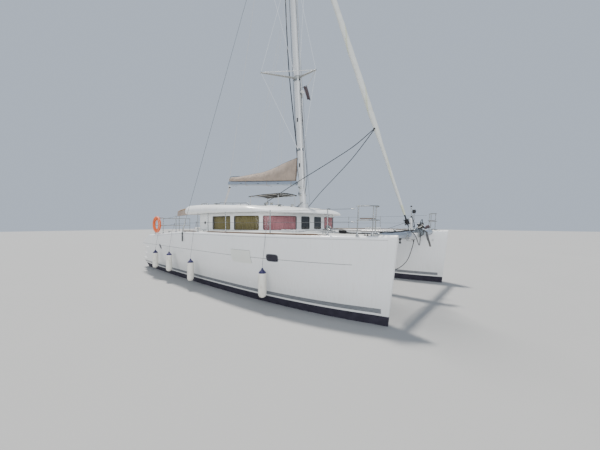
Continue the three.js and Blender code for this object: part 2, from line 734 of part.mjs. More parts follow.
// Crossbeam between the bows, and the centre beam with the anchor roller
const beamRadius = 92;
const beamHalf = hullCentre - between(stations, 3, beamX) + 12; // just into each hull's inner side
const onStay = (z) => [stayFoot[0] + stayRake * (stayFoot[1] - z), 0, z];
const stayWay = [-stayRake, 0, 1];
const drumFoot = onStay(stayFoot[1] - 330);
const drumLow = 28; // the drum reaches this far below its foot
function crossbeam() {
  const seatTop = along(drumFoot, stayWay, -drumLow - gap);
  const seat = rod(onStay(beamZ), seatTop, 45, 12, 24);
  return rod([beamX, -beamHalf, beamZ], [beamX, beamHalf, beamZ], beamRadius, 20).add(seat).subtract(hullsGrown);
}
add('crossbeam', crossbeam(), 'alloy');
const centreHalf = 140;
const beamLow = 1640; // underside of the centre beam
const anchorY = 84; // the anchor lies beside the stay
const roller = { x: beamX + 300, z: beamZ + 56, radius: 38, half: 40 };
function centreBeam() {
  const beam = box([3050 + gap, -centreHalf, beamLow], [beamX + 220, centreHalf, 1830]);
  const cheeks = [-1, 1].map((side) => slab(
    [[beamX + 110, beamLow], [roller.x + 50, 1790], [roller.x + 50, 1935], [beamX + 110, 1950]],
    anchorY + side * (roller.half + 4) - 6, anchorY + side * (roller.half + 4) + 6));
  const wheel = rod([roller.x, anchorY - roller.half, roller.z], [roller.x, anchorY + roller.half, roller.z],
    roller.radius, 14);
  const under = box([beamX - 50, -centreHalf, 1600], [beamX + 50, centreHalf, 1700]);
  const hole = rod([beamX, -3000, beamZ], [beamX, 3000, beamZ], beamRadius + gap, 20);
  return join([beam, ...cheeks, wheel, under]).subtract(hole);
}
add('centre_beam', centreBeam(), 'alloy');

// Anchor: its shank lies over the roller, and its fluke hangs ahead of it
function anchor() {
  const ahead = (distance, z) => [roller.x + distance, z];
  const low = roller.z + roller.radius + gap;
  const shank = slab([[5150, low + 28], ahead(60, low + 28), ahead(150, low - 40), ahead(125, low - 70), ahead(50, low),
    [5150, low]], anchorY - 12, anchorY + 12);
  const rows = [[-400, 190, 240, 6], [-220, 150, 190, 125], [-20, 100, 150, 50]]; // height, aft, fore, half width
  const fluke = loft(rows.map(([up, aft, fore, half]) => [up + roller.z, aft, fore, half])
    .map(([z, aft, fore, half]) => [
    [roller.x + aft, anchorY - half, z + half * 0.3], [roller.x + fore, anchorY, z],
    [roller.x + aft, anchorY + half, z + half * 0.3], [roller.x + aft + 12, anchorY, z + 12]]));
  return shank.add(fluke);
}
add('anchor', anchor(), 'galvanised');

// Nets between the hulls and the centre beam
function net() {
  const sheet = plate([[3050 + gap, -2500], [beamX - 60, -2500], [beamX - 60, -centreHalf - gap],
    [3050 + gap, -centreHalf - gap]], 1770, 1785);
  return sheet.subtract(hullsGrown).subtract(rod([beamX, -3000, beamZ], [beamX, 3000, beamZ], beamRadius + gap, 20));
}
addPair('trampoline', net(), 'black');

// Windlass on the foredeck
add('windlass', join([
  box([2560, -110, deckZ + gap], [2860, 110, deckZ + 60]),
  rod([2700, 0, deckZ + 50], [2700, 0, deckZ + 190], 75, 16),
  rod([2700, 0, deckZ + 120], [2700, 150, deckZ + 120], 50, 14),
]), 'steel');

// Rolled headsail on the forestay. Columns: radius, distance up the stay.
const stayLength = Math.hypot(1, stayRake) * (16950 - stayFoot[1]);
add('headsail', turned([
  [0, 0], [42, 0], [45, 700], [55, 2300], [85, 2900], [96, 4000], [98, 8000], [80, 12000], [55, 14200],
  [18, 14500], [9, 14520], [9, stayLength], [0, stayLength],
], [stayFoot[0], 0, stayFoot[1]], stayWay, 14).subtract(loft([
  ovalRing(16000, mastLong + gap, mastWide + gap), ovalRing(18000, mastLong + gap, mastWide + gap)]))
  .decompose().sort((a, b) => b.volume() - a.volume())[0], 'sail');
add('furler_drum', turned([
  [0, -drumLow], [16, -drumLow], [16, 60], [85, 62], [85, 78], [55, 84], [55, 180], [85, 186], [85, 202], [30, 206],
  [22, 346 - gap], [0, 346 - gap],
], drumFoot, stayWay, 18), 'black');

// Shrouds, each with its turnbuckle and chainplate
const chainX = -850;
function shroud() {
  const out = hullCentre + between(stations, 1, chainX);
  const foot = [chainX, -out - 16, deckZ - 60];
  const head = [mastX(16900), -mastWide - 8, 16900];
  const way = head.map((value, i) => value - foot[i]);
  const strap = box([chainX - 28, -out - 22, deckZ - 360], [chainX + 28, -out - 10, deckZ - 20]);
  const bodies = [strap, rod(foot, along(foot, way, 120), 14, 8), rod(along(foot, way, 110), along(foot, way, 430), 22, 10),
    rod(along(foot, way, 420), head, 8, 6)];
  return join(bodies).subtract(hullForm(gap));
}
addPair('shroud', shroud(), 'steel');

// Guard rails: stanchions joined by two lines
const edgeY = (x, inset) => -hullCentre - between(stations, 1, x) + inset;
const deckAt = (x) => between(stations, 5, x);
const stanchions = [4760, 3290, 1600, 660, 30, -1590];
const railBend = 2450; // the lines follow the deck's curve here, between two stanchions
const railFore = 5330;
const railAft = -2720;
const railInset = 95;
const railAt = (x, up) => [x, edgeY(x, railInset), deckAt(x) + up];
function guardRail() {
  const bodies = stanchions.map((x) => rod(railAt(x, -30), railAt(x, railHeight), 13, 6));
  for (const up of [railHeight - 12, railHeight * 0.5]) {
    const stops = [railFore, ...stanchions, railBend, railAft].sort((a, b) => b - a);
    bodies.push(bars(stops.map((x) => railAt(x, up)), 5, 4));
  }
  return join(bodies).subtract(hullForm(gap));
}
addPair('guard_rail', guardRail(), 'steel');

// Pulpits at the bows and pushpits at the stern
const pulpitPosts = [[5390, -2860], [5640, -2680], [5560, -2370]];
function pulpit() {
  const foot = deckZ - 30;
  const top = deckZ + 640;
  const bodies = pulpitPosts.map(([x, y]) => rod([x, y, foot], [x + 30, y, top - 30], 13, 6));
  for (const z of [top - 20, deckZ + 330]) {
    bodies.push(bend([[5400, -2875, z], [5620, -2760, z], [5720, -2600, z], [5680, -2440, z], [5570, -2345, z]], 13, 8, 6));
  }
  return join(bodies).subtract(hullForm(gap)).decompose().sort((a, b) => b.volume() - a.volume())[0];
}
addPair('pulpit', pulpit(), 'steel');

const pushpitX = [-2760, -3560];
function pushpit() {
  const [fore, aft] = pushpitX;
  const out = edgeY(fore, railInset);
  const inner = -2050;
  const bodies = [[fore, out], [aft, out], [aft, inner]].map(([x, y]) => rod(
    [x, y, deckAt(x) - 30], [x, y, 2320], 13));
  for (const z of [2320, 2020]) {
    bodies.push(bars([[fore, out, z], [aft, out, z], [aft, inner, z]], 13));
  }
  for (const [x, y] of [[fore, out], [aft, inner]]) {
    bodies.push(solid(new THREE.SphereGeometry(15, 6, 4)).translate([x, y, 2320]));
  }
  return join(bodies).subtract(hullForm(gap)).subtract(deck.translate(0, 0, gap));
}
addPair('pushpit', pushpit(), 'steel');

// Lifebuoy on the starboard pushpit
const buoy = { x: -3200, z: 2060, radius: 340, wide: 80, thick: 50, out: 75.5 }; // half the ring's section
function lifebuoy() {
  const ring = [];
  for (let i = 0; i <= 8; i += 1) {
    const turn = (i / 8) * Math.PI * 2;
    ring.push([buoy.radius - buoy.wide + buoy.wide * Math.cos(turn), buoy.thick * Math.sin(turn)]);
  }
  return turned(ring, [buoy.x, edgeY(buoy.x, railInset) - buoy.out, buoy.z], [0.05, -1, 0], 28);
}
add('lifebuoy', lifebuoy(), 'orange');

// Fenders. Columns: x, height of the foot, then how far above the deck and in from its edge the line is tied.
const fenders = [
  [3240, 310, railHeight * 0.5, railInset - 6],
  [-60, 250, railHeight * 0.5, railInset - 6],
  [-1700, 360, railHeight * 0.5, railInset - 6],
  [-3000, 340, 6, 60],
];
fenders.forEach(([x, foot, tieUp, tieIn], i) => {
  const out = edgeY(x, 0);
  const y = out - 106;
  const body = turned([
    [0, 0], [60, 15], [92, 60], [100, 110], [100, 560], [92, 600], [60, 650], [28, 690], [20, 720], [0, 720],
  ], [x, y, foot], [0, 0, 1], 12);
  const line = bars([[x, y, foot + 695], [x, out - 22, deckAt(x) - 60], [x, out - 12, deckAt(x) + 8],
    [x, out + tieIn, deckAt(x) + tieUp]], 6, 5);
  add(`fender_${i + 1}`, body.add(line).subtract(hullForm(gap)).subtract(guardRail()), 'fender');
});

// Rudders, saildrives and propellers
function rudder() {
  const stock = rod([rudderX, -hullCentre, -420], [rudderX, -hullCentre, stockTop], stockRadius, 24);
  const rows = [[-330, 170, -330, 34], [-700, 165, -310, 30], [-1080, 130, -240, 22], [-1110, 100, -200, 8]];
  const blade = loft(rows.map(([z, fore, aft, half]) => foil(rudderX + fore, rudderX + aft, half, -hullCentre, z)));
  return stock.add(blade);
}
addPair('rudder', rudder(), 'antifoul');

const shaftZ = -760;
const shaftAft = driveX - 130;
function saildrive() {
  const leg = loft([[-250, 130, -90, 50], [-700, 110, -90, 42]].map(([z, fore, aft, half]) => foil(
    driveX + fore, driveX + aft, half, -hullCentre, z)));
  const bulb = turned([[0, 0], [52, 0], [68, 90], [62, 240], [30, 330], [0, 345]],
    [shaftAft, -hullCentre, shaftZ], [1, 0, 0], 14);
  return leg.add(bulb).subtract(hullForm(gap));
}
addPair('saildrive', saildrive(), 'black');

const blades = 3;
function propeller() {
  const start = [shaftAft - 0.5, -hullCentre, shaftZ];
  const bodies = [turned([[0, 0], [50, 0], [48, 60], [25, 110], [0, 118]], start, [-1, 0, 0], 14)];
  for (let i = 0; i < blades; i += 1) {
    const blade = loft([[0.12, 28, 0.9], [0.5, 60, 0.65], [0.85, 52, 0.5], [1, 16, 0.45]].map(([share, half, twist]) => {
      const ring = [];
      for (let k = 0; k < 10; k += 1) {
        const turn = (k / 10) * Math.PI * 2;
        const [c, s] = [half * Math.cos(turn), 5 * Math.sin(turn)];
        ring.push([start[0] - 50 + c * Math.sin(twist) - s * Math.cos(twist),
          c * Math.cos(twist) + s * Math.sin(twist), 210 * share]);
      }
      return ring;
    }));
    bodies.push(blade.rotate([(360 / blades) * i, 0, 0]).translate([0, -hullCentre, shaftZ]));
  }
  return join(bodies);
}
addPair('propeller', propeller(), 'bronze');

// Rope bridle: it hangs in a bight from the centre beam's nose to the starboard bow's eye
const bridle = [
  [5700, -112, beamLow - 2 * gap],
  [5700, -112, 1580],
  [5705, -300, 1386],
  [5705, -672, 1127],
  [5700, -1440, 1003],
  [5695, -1950, 1090],
  [eye[0], eye[1] + 20, 1430],
  [eye[0], eye[1] + 20, eye[2] - 2 * gap],
];
add('bridle_rope', bend(bridle, 11, 50, 8), 'black');

export default model;
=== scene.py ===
# Looks of a sailing catamaran afloat, around its fixed frame. Metres; the floor is the waterline.
from bisect import bisect_right
import json
from math import atan2, copysign, cos, exp, pi, radians, sin, sqrt
import random

import bmesh
import bpy
from mathutils import Matrix, Vector
from mathutils.bvhtree import BVHTree


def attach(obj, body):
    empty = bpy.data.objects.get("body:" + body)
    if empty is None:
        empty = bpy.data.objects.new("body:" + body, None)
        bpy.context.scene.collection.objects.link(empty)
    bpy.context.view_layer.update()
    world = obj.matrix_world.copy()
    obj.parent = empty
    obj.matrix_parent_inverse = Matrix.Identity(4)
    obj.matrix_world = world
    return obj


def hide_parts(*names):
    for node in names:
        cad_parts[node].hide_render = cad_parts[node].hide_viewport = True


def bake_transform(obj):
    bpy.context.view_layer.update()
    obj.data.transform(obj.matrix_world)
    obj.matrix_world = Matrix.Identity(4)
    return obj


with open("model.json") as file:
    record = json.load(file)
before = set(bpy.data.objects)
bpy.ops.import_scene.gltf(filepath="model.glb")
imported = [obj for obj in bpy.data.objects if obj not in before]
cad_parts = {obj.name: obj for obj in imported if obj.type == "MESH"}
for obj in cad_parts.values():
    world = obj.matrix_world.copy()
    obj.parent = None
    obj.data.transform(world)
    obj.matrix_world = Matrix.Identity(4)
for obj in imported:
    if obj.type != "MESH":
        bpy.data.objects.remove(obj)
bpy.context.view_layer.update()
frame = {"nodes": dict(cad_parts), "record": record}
nodes = frame["nodes"]
random.seed(7)

# Driving dimensions, as in the frame
HULL_Y = 2.51
BOW, STERN = 6.1, -5.9
STEM_RAKE = 0.2
KNUCKLE = 1.23
CAMBER = 0.025
DECK = 1.84
ROOF_LOW = 2.45
WINDOW_LOW, WINDOW_HIGH = 1.885, 2.36
WALL = 0.05
CABIN_AFT = -1.28
MAST_FOOT = (1.56, 2.83)
MAST_RAKE = 0.063
MAST_LONG, MAST_WIDE = 0.14, 0.10
MAST_WAY = Vector((-MAST_RAKE, 0, 1)).normalized()
GOOSE = Vector((1.322, 0, 3.7))
BOOM_END = Vector((-3.48, 0, 4.2))
RAIL = 0.58
RAIL_IN = 0.095
PIPE = 0.0125
BEAM_X, BEAM_Z = 5.57, 1.8
CHAIN_X = -0.85
SHEET_FOOT = Vector((-4.52, 0, 1.912))
STAY_FOOT = (5.42, 2.35)
STAY_RAKE = 0.32
SIDES = {"starboard": -1, "port": 1}


# Camera, floor and light
def camera():
    """The stand and lens of the photograph, and where it looks."""
    eye, heading, dip = Vector((7.84, -7.54, 2.10)), radians(40.5), 0.006
    data = bpy.data.cameras.new("camera")
    data.sensor_width = 36
    data.lens = 15.0
    data.clip_end = 500
    way = Vector((-sin(heading), cos(heading), -dip))
    body = bpy.data.objects.new("camera", data)
    body.location = eye
    body.rotation_euler = way.to_track_quat("-Z", "Y").to_euler()
    bpy.context.collection.objects.link(body)
    bpy.context.scene.camera = body


def lamp(name, energy, place, aim, spread_angle, colour):
    """A sun lamp. Its angle says how soft its shadows are."""
    data = bpy.data.lights.new(name, "SUN")
    data.energy = energy
    data.color = colour
    data.angle = spread_angle
    body = bpy.data.objects.new(name, data)
    body.location = place
    body.rotation_euler = (Vector(aim) - Vector(place)).to_track_quat("-Z", "Y").to_euler()
    bpy.context.collection.objects.link(body)


def surroundings():
    """An overcast sky with a soft sun and a fill from the camera's side, over a matt floor."""
    world = bpy.data.worlds.new("world")
    bpy.context.scene.world = world
    world.use_nodes = True
    back = world.node_tree.nodes["Background"]
    back.inputs["Color"].default_value = (0.66, 0.76, 0.90, 1)
    back.inputs["Strength"].default_value = 0.78
    lamp("sun", 5.6, (-9, 3, 24), (0, 0, 0), radians(6), (1.0, 0.96, 0.90))
    lamp("fill", 1.65, (14, -18, 8), (0, 0, 1), radians(40), (0.98, 0.98, 1.0))
    reach = 90
    mesh = bpy.data.meshes.new("floor")
    mesh.from_pydata([(-reach, -reach, 0), (reach, -reach, 0), (reach, reach, 0), (-reach, reach, 0)], [],
                     [(0, 1, 2, 3)])
    floor = bpy.data.objects.new("floor", mesh)
    bpy.context.collection.objects.link(floor)
    floor.data.materials.append(finish("floor_paint", (0.35, 0.35, 0.345), rough=0.85, vary=0.02, scale=0.3))


# Materials
def nodes_of(name):
    paint = bpy.data.materials.new(name)
    paint.use_nodes = True
    tree = paint.node_tree
    shader = tree.nodes["Principled BSDF"]
    place = tree.nodes.new("ShaderNodeTexCoord")
    return paint, tree, shader, place


def noise(tree, place, scale, stretch=(1, 1, 1), detail=4.0):
    mapping = tree.nodes.new("ShaderNodeMapping")
    mapping.inputs["Scale"].default_value = stretch
    tree.links.new(place.outputs["Object"], mapping.inputs["Vector"])
    texture = tree.nodes.new("ShaderNodeTexNoise")
    texture.inputs["Scale"].default_value = scale
    texture.inputs["Detail"].default_value = detail
    tree.links.new(mapping.outputs["Vector"], texture.inputs["Vector"])
    return texture.outputs["Fac"]


def spread(tree, source, low, high, start=0.3, stop=0.7, into=None):
    """Maps a value's range to another one, and feeds a socket with it if one is given."""
    across = tree.nodes.new("ShaderNodeMapRange")
    across.inputs["From Min"].default_value = start
    across.inputs["From Max"].default_value = stop
    across.inputs["To Min"].default_value = low
    across.inputs["To Max"].default_value = high
    tree.links.new(source, across.inputs["Value"])
    if into:
        tree.links.new(across.outputs["Result"], into)
    return across.outputs["Result"]


def mix(tree, share, first, second):
    """A colour between two, by a share. Each is a colour or a socket."""
    blend = tree.nodes.new("ShaderNodeMix")
    blend.data_type = "RGBA"
    for socket, value in (("A", first), ("B", second)):
        port = [s for s in blend.inputs if s.name == socket and s.type == "RGBA"][0]
        if isinstance(value, tuple):
            port.default_value = (*value, 1)
        else:
            tree.links.new(value, port)
    tree.links.new(share, blend.inputs[0])
    return [s for s in blend.outputs if s.type == "RGBA"][0]


def bump(tree, height, shader, strength, distance, below=None):
    node = tree.nodes.new("ShaderNodeBump")
    node.inputs["Strength"].default_value = strength
    node.inputs["Distance"].default_value = distance
    tree.links.new(height, node.inputs["Height"])
    if below:
        tree.links.new(below, node.inputs["Normal"])
    tree.links.new(node.outputs["Normal"], shader.inputs["Normal"])
    return node.outputs["Normal"]


def shades(colour, vary):
    """A darker and a lighter version of a colour."""
    return (tuple(min(1, c * (1 - vary)) for c in colour), tuple(min(1, c * (1 + vary)) for c in colour))


def finish(name, colour, rough=0.5, metal=0.0, vary=0.06, scale=5.0, stretch=(1, 1, 1), grain=None, coat=0.0,
           alpha=1.0, dirt=None):
    """A moulded, painted or metal surface.

    Grain is a scale, a strength and a distance, and dirt a colour, a scale and a stretch.
    """
    paint, tree, shader, place = nodes_of(name)
    field = noise(tree, place, scale, stretch)
    dark, light = shades(colour, vary)
    base = mix(tree, spread(tree, field, 0, 1), dark, light)
    if dirt:
        patch = noise(tree, place, dirt[1], dirt[2], 6.0)
        base = mix(tree, spread(tree, patch, 0, 0.55, 0.52, 0.78), base, dirt[0])
    tree.links.new(base, shader.inputs["Base Color"])
    spread(tree, field, max(0.02, rough - 0.06), min(1, rough + 0.06), into=shader.inputs["Roughness"])
    shader.inputs["Metallic"].default_value = metal
    shader.inputs["Coat Weight"].default_value = coat
    shader.inputs["Alpha"].default_value = alpha
    if grain:
        bump(tree, noise(tree, place, grain[0], (1, 1, 1), 2.0), shader, grain[1], grain[2])
    return paint


def wave(tree, place, scale, axis):
    texture = tree.nodes.new("ShaderNodeTexWave")
    texture.bands_direction = axis
    texture.inputs["Scale"].default_value = scale
    tree.links.new(place.outputs["Object"], texture.inputs["Vector"])
    return texture.outputs["Fac"]


def add_up(tree, first, second, kind="ADD"):
    node = tree.nodes.new("ShaderNodeMath")
    node.operation = kind
    for i, value in enumerate((first, second)):
        if isinstance(value, (int, float)):
            node.inputs[i].default_value = value
        else:
            tree.links.new(value, node.inputs[i])
    return node.outputs[0]


def cloth(name, colour, weave=120.0, crease=0.012, vary=0.12, stains=None, sheen=0.15, axes="XZ"):
    """A woven fabric: threads two ways, soft creases, and stains."""
    rough = 0.9
    paint, tree, shader, place = nodes_of(name)
    field = noise(tree, place, 2.2, (1, 1, 1.6), 6.0)
    dark, light = shades(colour, vary)
    base = mix(tree, spread(tree, field, 0, 1), dark, light)
    if stains:
        base = mix(tree, spread(tree, noise(tree, place, 5.5, (1, 1, 0.5), 8.0), 0, 0.7, 0.5, 0.75), base,
                   stains)
    threads = add_up(tree, wave(tree, place, weave, axes[0]), wave(tree, place, weave, axes[1]))
    base = mix(tree, spread(tree, threads, 0.0, 0.18, 0, 2), base, dark)
    tree.links.new(base, shader.inputs["Base Color"])
    spread(tree, field, rough - 0.08, min(1, rough + 0.05), into=shader.inputs["Roughness"])
    shader.inputs["Sheen Weight"].default_value = sheen
    fine = bump(tree, threads, shader, 0.25, 0.0006)
    bump(tree, noise(tree, place, 3.0, (1.4, 1.4, 0.8), 3.0), shader, 0.6, crease, fine)
    return paint


def topsides():
    """Hull sides by height: dark bottom paint, white, a grey stripe, white; with runs and a scum line."""
    bottom_top, stripe_low, stripe_high, stripe_fore = 0.20, 0.245, 0.345, 5.78
    grime = (0.62, 0.60, 0.52)
    paint, tree, shader, place = nodes_of("hull_gelcoat")
    split = tree.nodes.new("ShaderNodeSeparateXYZ")
    tree.links.new(place.outputs["Object"], split.inputs[0])
    x, z = split.outputs["X"], split.outputs["Z"]
    white_dark, white_light = shades((0.82, 0.825, 0.82), 0.02)
    white = mix(tree, spread(tree, noise(tree, place, 0.8), 0, 1), white_dark, white_light)
    runs = noise(tree, place, 5.0, (5.0, 5.0, 0.22), 5.0)
    white = mix(tree, spread(tree, runs, 0, 0.20, 0.52, 0.80), white, (0.60, 0.585, 0.52))
    low = spread(tree, z, 0.28, 0.0, 0.34, 0.95)
    white = mix(tree, add_up(tree, low, spread(tree, runs, 0.4, 1, 0.3, 0.7), "MULTIPLY"), white, grime)

    def above(level):
        return add_up(tree, z, level, "GREATER_THAN")

    stripe = add_up(tree, above(stripe_low), add_up(tree, 1.0, above(stripe_high), "SUBTRACT"), "MULTIPLY")
    stripe = add_up(tree, stripe, add_up(tree, x, stripe_fore, "LESS_THAN"), "MULTIPLY")
    grey = mix(tree, spread(tree, noise(tree, place, 9.0, (1, 1, 4)), 0, 1), (0.16, 0.17, 0.18),
               (0.23, 0.24, 0.25))
    colour = mix(tree, stripe, white, grey)
    bottom = mix(tree, spread(tree, noise(tree, place, 6.0), 0, 1), (0.012, 0.010, 0.020),
                 (0.030, 0.026, 0.042))
    colour = mix(tree, above(bottom_top), bottom, colour)
    tree.links.new(colour, shader.inputs["Base Color"])
    rough = mix(tree, above(bottom_top), (0.8, 0.8, 0.8), (0.22, 0.22, 0.22))
    tree.links.new(rough, shader.inputs["Roughness"])
    bump(tree, noise(tree, place, 1.3, detail=1.0), shader, 0.06, 0.02)
    return paint


def make_materials():
    """Every paint by its short name."""
    white = (0.80, 0.81, 0.80)
    return {
        "topsides": topsides(),
        "gelcoat": finish("gelcoat", white, 0.25, vary=0.025, scale=1.2,
                          dirt=((0.70, 0.69, 0.63), 1.8, (2, 2, 0.7))),
        "deck": finish("nonskid_deck", (0.62, 0.62, 0.59), 0.8, vary=0.05, scale=3.0, grain=(420, 0.8, 0.003),
                       dirt=((0.54, 0.53, 0.48), 1.6, (1, 1, 1))),
        "pad": finish("nonskid_pad", (0.54, 0.545, 0.53), 0.9, vary=0.05, scale=3.0, grain=(300, 1.0, 0.004),
                      dirt=((0.46, 0.45, 0.41), 1.6, (1, 1, 1))),
        "antifoul": finish("bottom_paint", (0.020, 0.017, 0.030), 0.8, vary=0.3, grain=(60, 0.3, 0.002)),
        "glass": finish("tinted_glass", (0.018, 0.020, 0.021), 0.05, vary=0.05, alpha=0.14, coat=0.3),
        "dark_glass": finish("dark_glass", (0.010, 0.012, 0.014), 0.06, vary=0.1, coat=0.3),
        "rubber": finish("rubber_seal", (0.03, 0.03, 0.032), 0.6, vary=0.2, grain=(300, 0.2, 0.001)),
        "steel": finish("stainless", (0.38, 0.39, 0.385), 0.24, 1.0, vary=0.06, scale=9, stretch=(1, 1, 3)),
        "alloy": finish("white_spar_paint", (0.66, 0.67, 0.67), 0.38, 0.15, vary=0.04, scale=3,
                        stretch=(2, 2, 0.3), dirt=((0.42, 0.42, 0.40), 3.0, (3, 3, 0.3))),
        # Grey metal whose blue tint is a painted sky reflection in shade; the boom wears it too
        "beam": finish("beam_grey_painted_sky_tint", (0.36, 0.42, 0.50), 0.35, 0.7, vary=0.08, scale=4,
                       stretch=(3, 0.5, 3)),
        "wood": finish("weathered_wood", (0.16, 0.105, 0.07), 0.7, vary=0.35, scale=14, stretch=(0.35, 6, 6),
                       grain=(120, 0.3, 0.002)),
        "black": finish("black_nylon", (0.02, 0.02, 0.022), 0.55, vary=0.25, grain=(200, 0.2, 0.001)),
        "rope_black": finish("black_rope", (0.018, 0.018, 0.02), 0.85, vary=0.4, scale=120,
                             grain=(260, 0.9, 0.003)),
        "rope_white": finish("white_rope", (0.62, 0.60, 0.55), 0.85, vary=0.2, scale=120,
                             grain=(260, 0.9, 0.003)),
        "wire": finish("rigging_wire", (0.40, 0.41, 0.41), 0.35, 0.9, vary=0.1, scale=60),
        "wire_dark": finish("weathered_wire", (0.10, 0.105, 0.11), 0.5, 0.6, vary=0.2, scale=60),
        "mauve": cloth("faded_mauve_cloth", (0.085, 0.062, 0.068), weave=160, crease=0.004, vary=0.3),
        "navy": finish("navy_vinyl", (0.018, 0.016, 0.075), 0.45, vary=0.15),
        "fender": finish("cream_vinyl", (0.78, 0.76, 0.68), 0.42, vary=0.04, scale=8,
                         dirt=((0.42, 0.38, 0.30), 9.0, (1, 1, 0.6))),
        "orange": finish("lifebuoy_orange", (0.80, 0.13, 0.02), 0.5, vary=0.12, scale=8,
                         grain=(160, 0.25, 0.001)),
        "white_band": finish("reflective_band", (0.75, 0.75, 0.73), 0.35, vary=0.05),
        "galvanised": finish("galvanised_rust", (0.30, 0.27, 0.24), 0.65, 0.6, vary=0.25, scale=14,
                             grain=(90, 0.4, 0.002), dirt=((0.26, 0.10, 0.04), 9.0, (1, 1, 1))),
        "bronze": finish("bronze", (0.42, 0.28, 0.10), 0.4, 1.0, vary=0.2, grain=(80, 0.2, 0.001)),
        "wire_pale": finish("pale_wire", (0.82, 0.84, 0.85), 0.4, vary=0.08, scale=60),
        "rope_grey": finish("grey_rope", (0.22, 0.225, 0.24), 0.7, vary=0.25, scale=120,
                            grain=(260, 0.9, 0.003)),
        # Spreaders: a darker grey than the white spar, painted shade for the shadow along them
        "spreader": finish("spreader_painted_shade", (0.36, 0.37, 0.36), 0.4, 0.3, vary=0.12, scale=8),
        "anchor_dark": finish("weathered_iron", (0.15, 0.145, 0.14), 0.6, 0.6, vary=0.3, scale=22,
                              grain=(240, 0.3, 0.002)),
        "portlight": finish("portlight_pane", (0.012, 0.012, 0.026), 0.3, vary=0.2),
        "cover_edge": finish("cover_edging", (0.10, 0.085, 0.08), 0.7, vary=0.1, scale=30),
        "panel": finish("faded_panel", (0.72, 0.735, 0.68), 0.45, vary=0.03, scale=1.5),
        # Thin dark lines; along the hull's crease this is painted shadow
        "line": finish("dark_lines_and_crease_shadow", (0.12, 0.13, 0.14), 0.5, vary=0.1),
        "cover": cloth("sail_cover_canvas", (0.35, 0.28, 0.225), stains=(0.24, 0.19, 0.15), crease=0.03),
        "awning": cloth("tan_canvas", (0.66, 0.45, 0.27), stains=(0.50, 0.34, 0.20), axes="XY"),
        "bimini": cloth("dark_canvas", (0.030, 0.029, 0.027), stains=(0.055, 0.050, 0.043), sheen=0.02,
                        axes="XY"),
        "olive": cloth("olive_curtain", (0.27, 0.23, 0.09), weave=160, crease=0.004, vary=0.2),
        "pink": cloth("rose_curtain", (0.70, 0.31, 0.335), weave=160, crease=0.004, vary=0.2),
        "sail": cloth("sailcloth", (0.74, 0.75, 0.70), weave=60, crease=0.004, vary=0.05,
                      stains=(0.58, 0.58, 0.50)),
        "sail_tint": cloth("sail_edge_cloth", (0.66, 0.68, 0.52), weave=60, crease=0.004, vary=0.08),
        "net": finish("net_cord", (0.05, 0.05, 0.055), 0.8, vary=0.3, scale=40),
        "cushion": cloth("seat_cloth", (0.55, 0.50, 0.42), weave=100, axes="XY"),
    }


# Mesh building
MERGE = 0.00001


def turns(count):
    """Angles at even steps round a circle."""
    return [2 * pi * k / count for k in range(count)]


def spaced(start, stop, count):
    """Values from one to another, both of them included, at even steps."""
    return [start + (stop - start) * k / count for k in range(count + 1)]


def even(half):
    """A turned profile that is the same both ways: radius and distance from its middle, from the end in."""
    return [(r, -h) for r, h in half] + [(r, h) for r, h in reversed(half) if h]


def clean_up(mesh, merge=False):
    """Faces outward, and no doubled points where merge says so."""
    clean = bmesh.new()
    clean.from_mesh(mesh)
    if merge:
        bmesh.ops.remove_doubles(clean, verts=clean.verts[:], dist=MERGE)
        bmesh.ops.dissolve_degenerate(clean, edges=clean.edges[:], dist=MERGE)
    bmesh.ops.recalc_face_normals(clean, faces=clean.faces[:])
    clean.to_mesh(mesh)
    clean.free()


def shade(obj, angle=35):
    obj.data.shade_smooth()
    obj.data.set_sharp_from_angle(angle=radians(angle))
    return obj


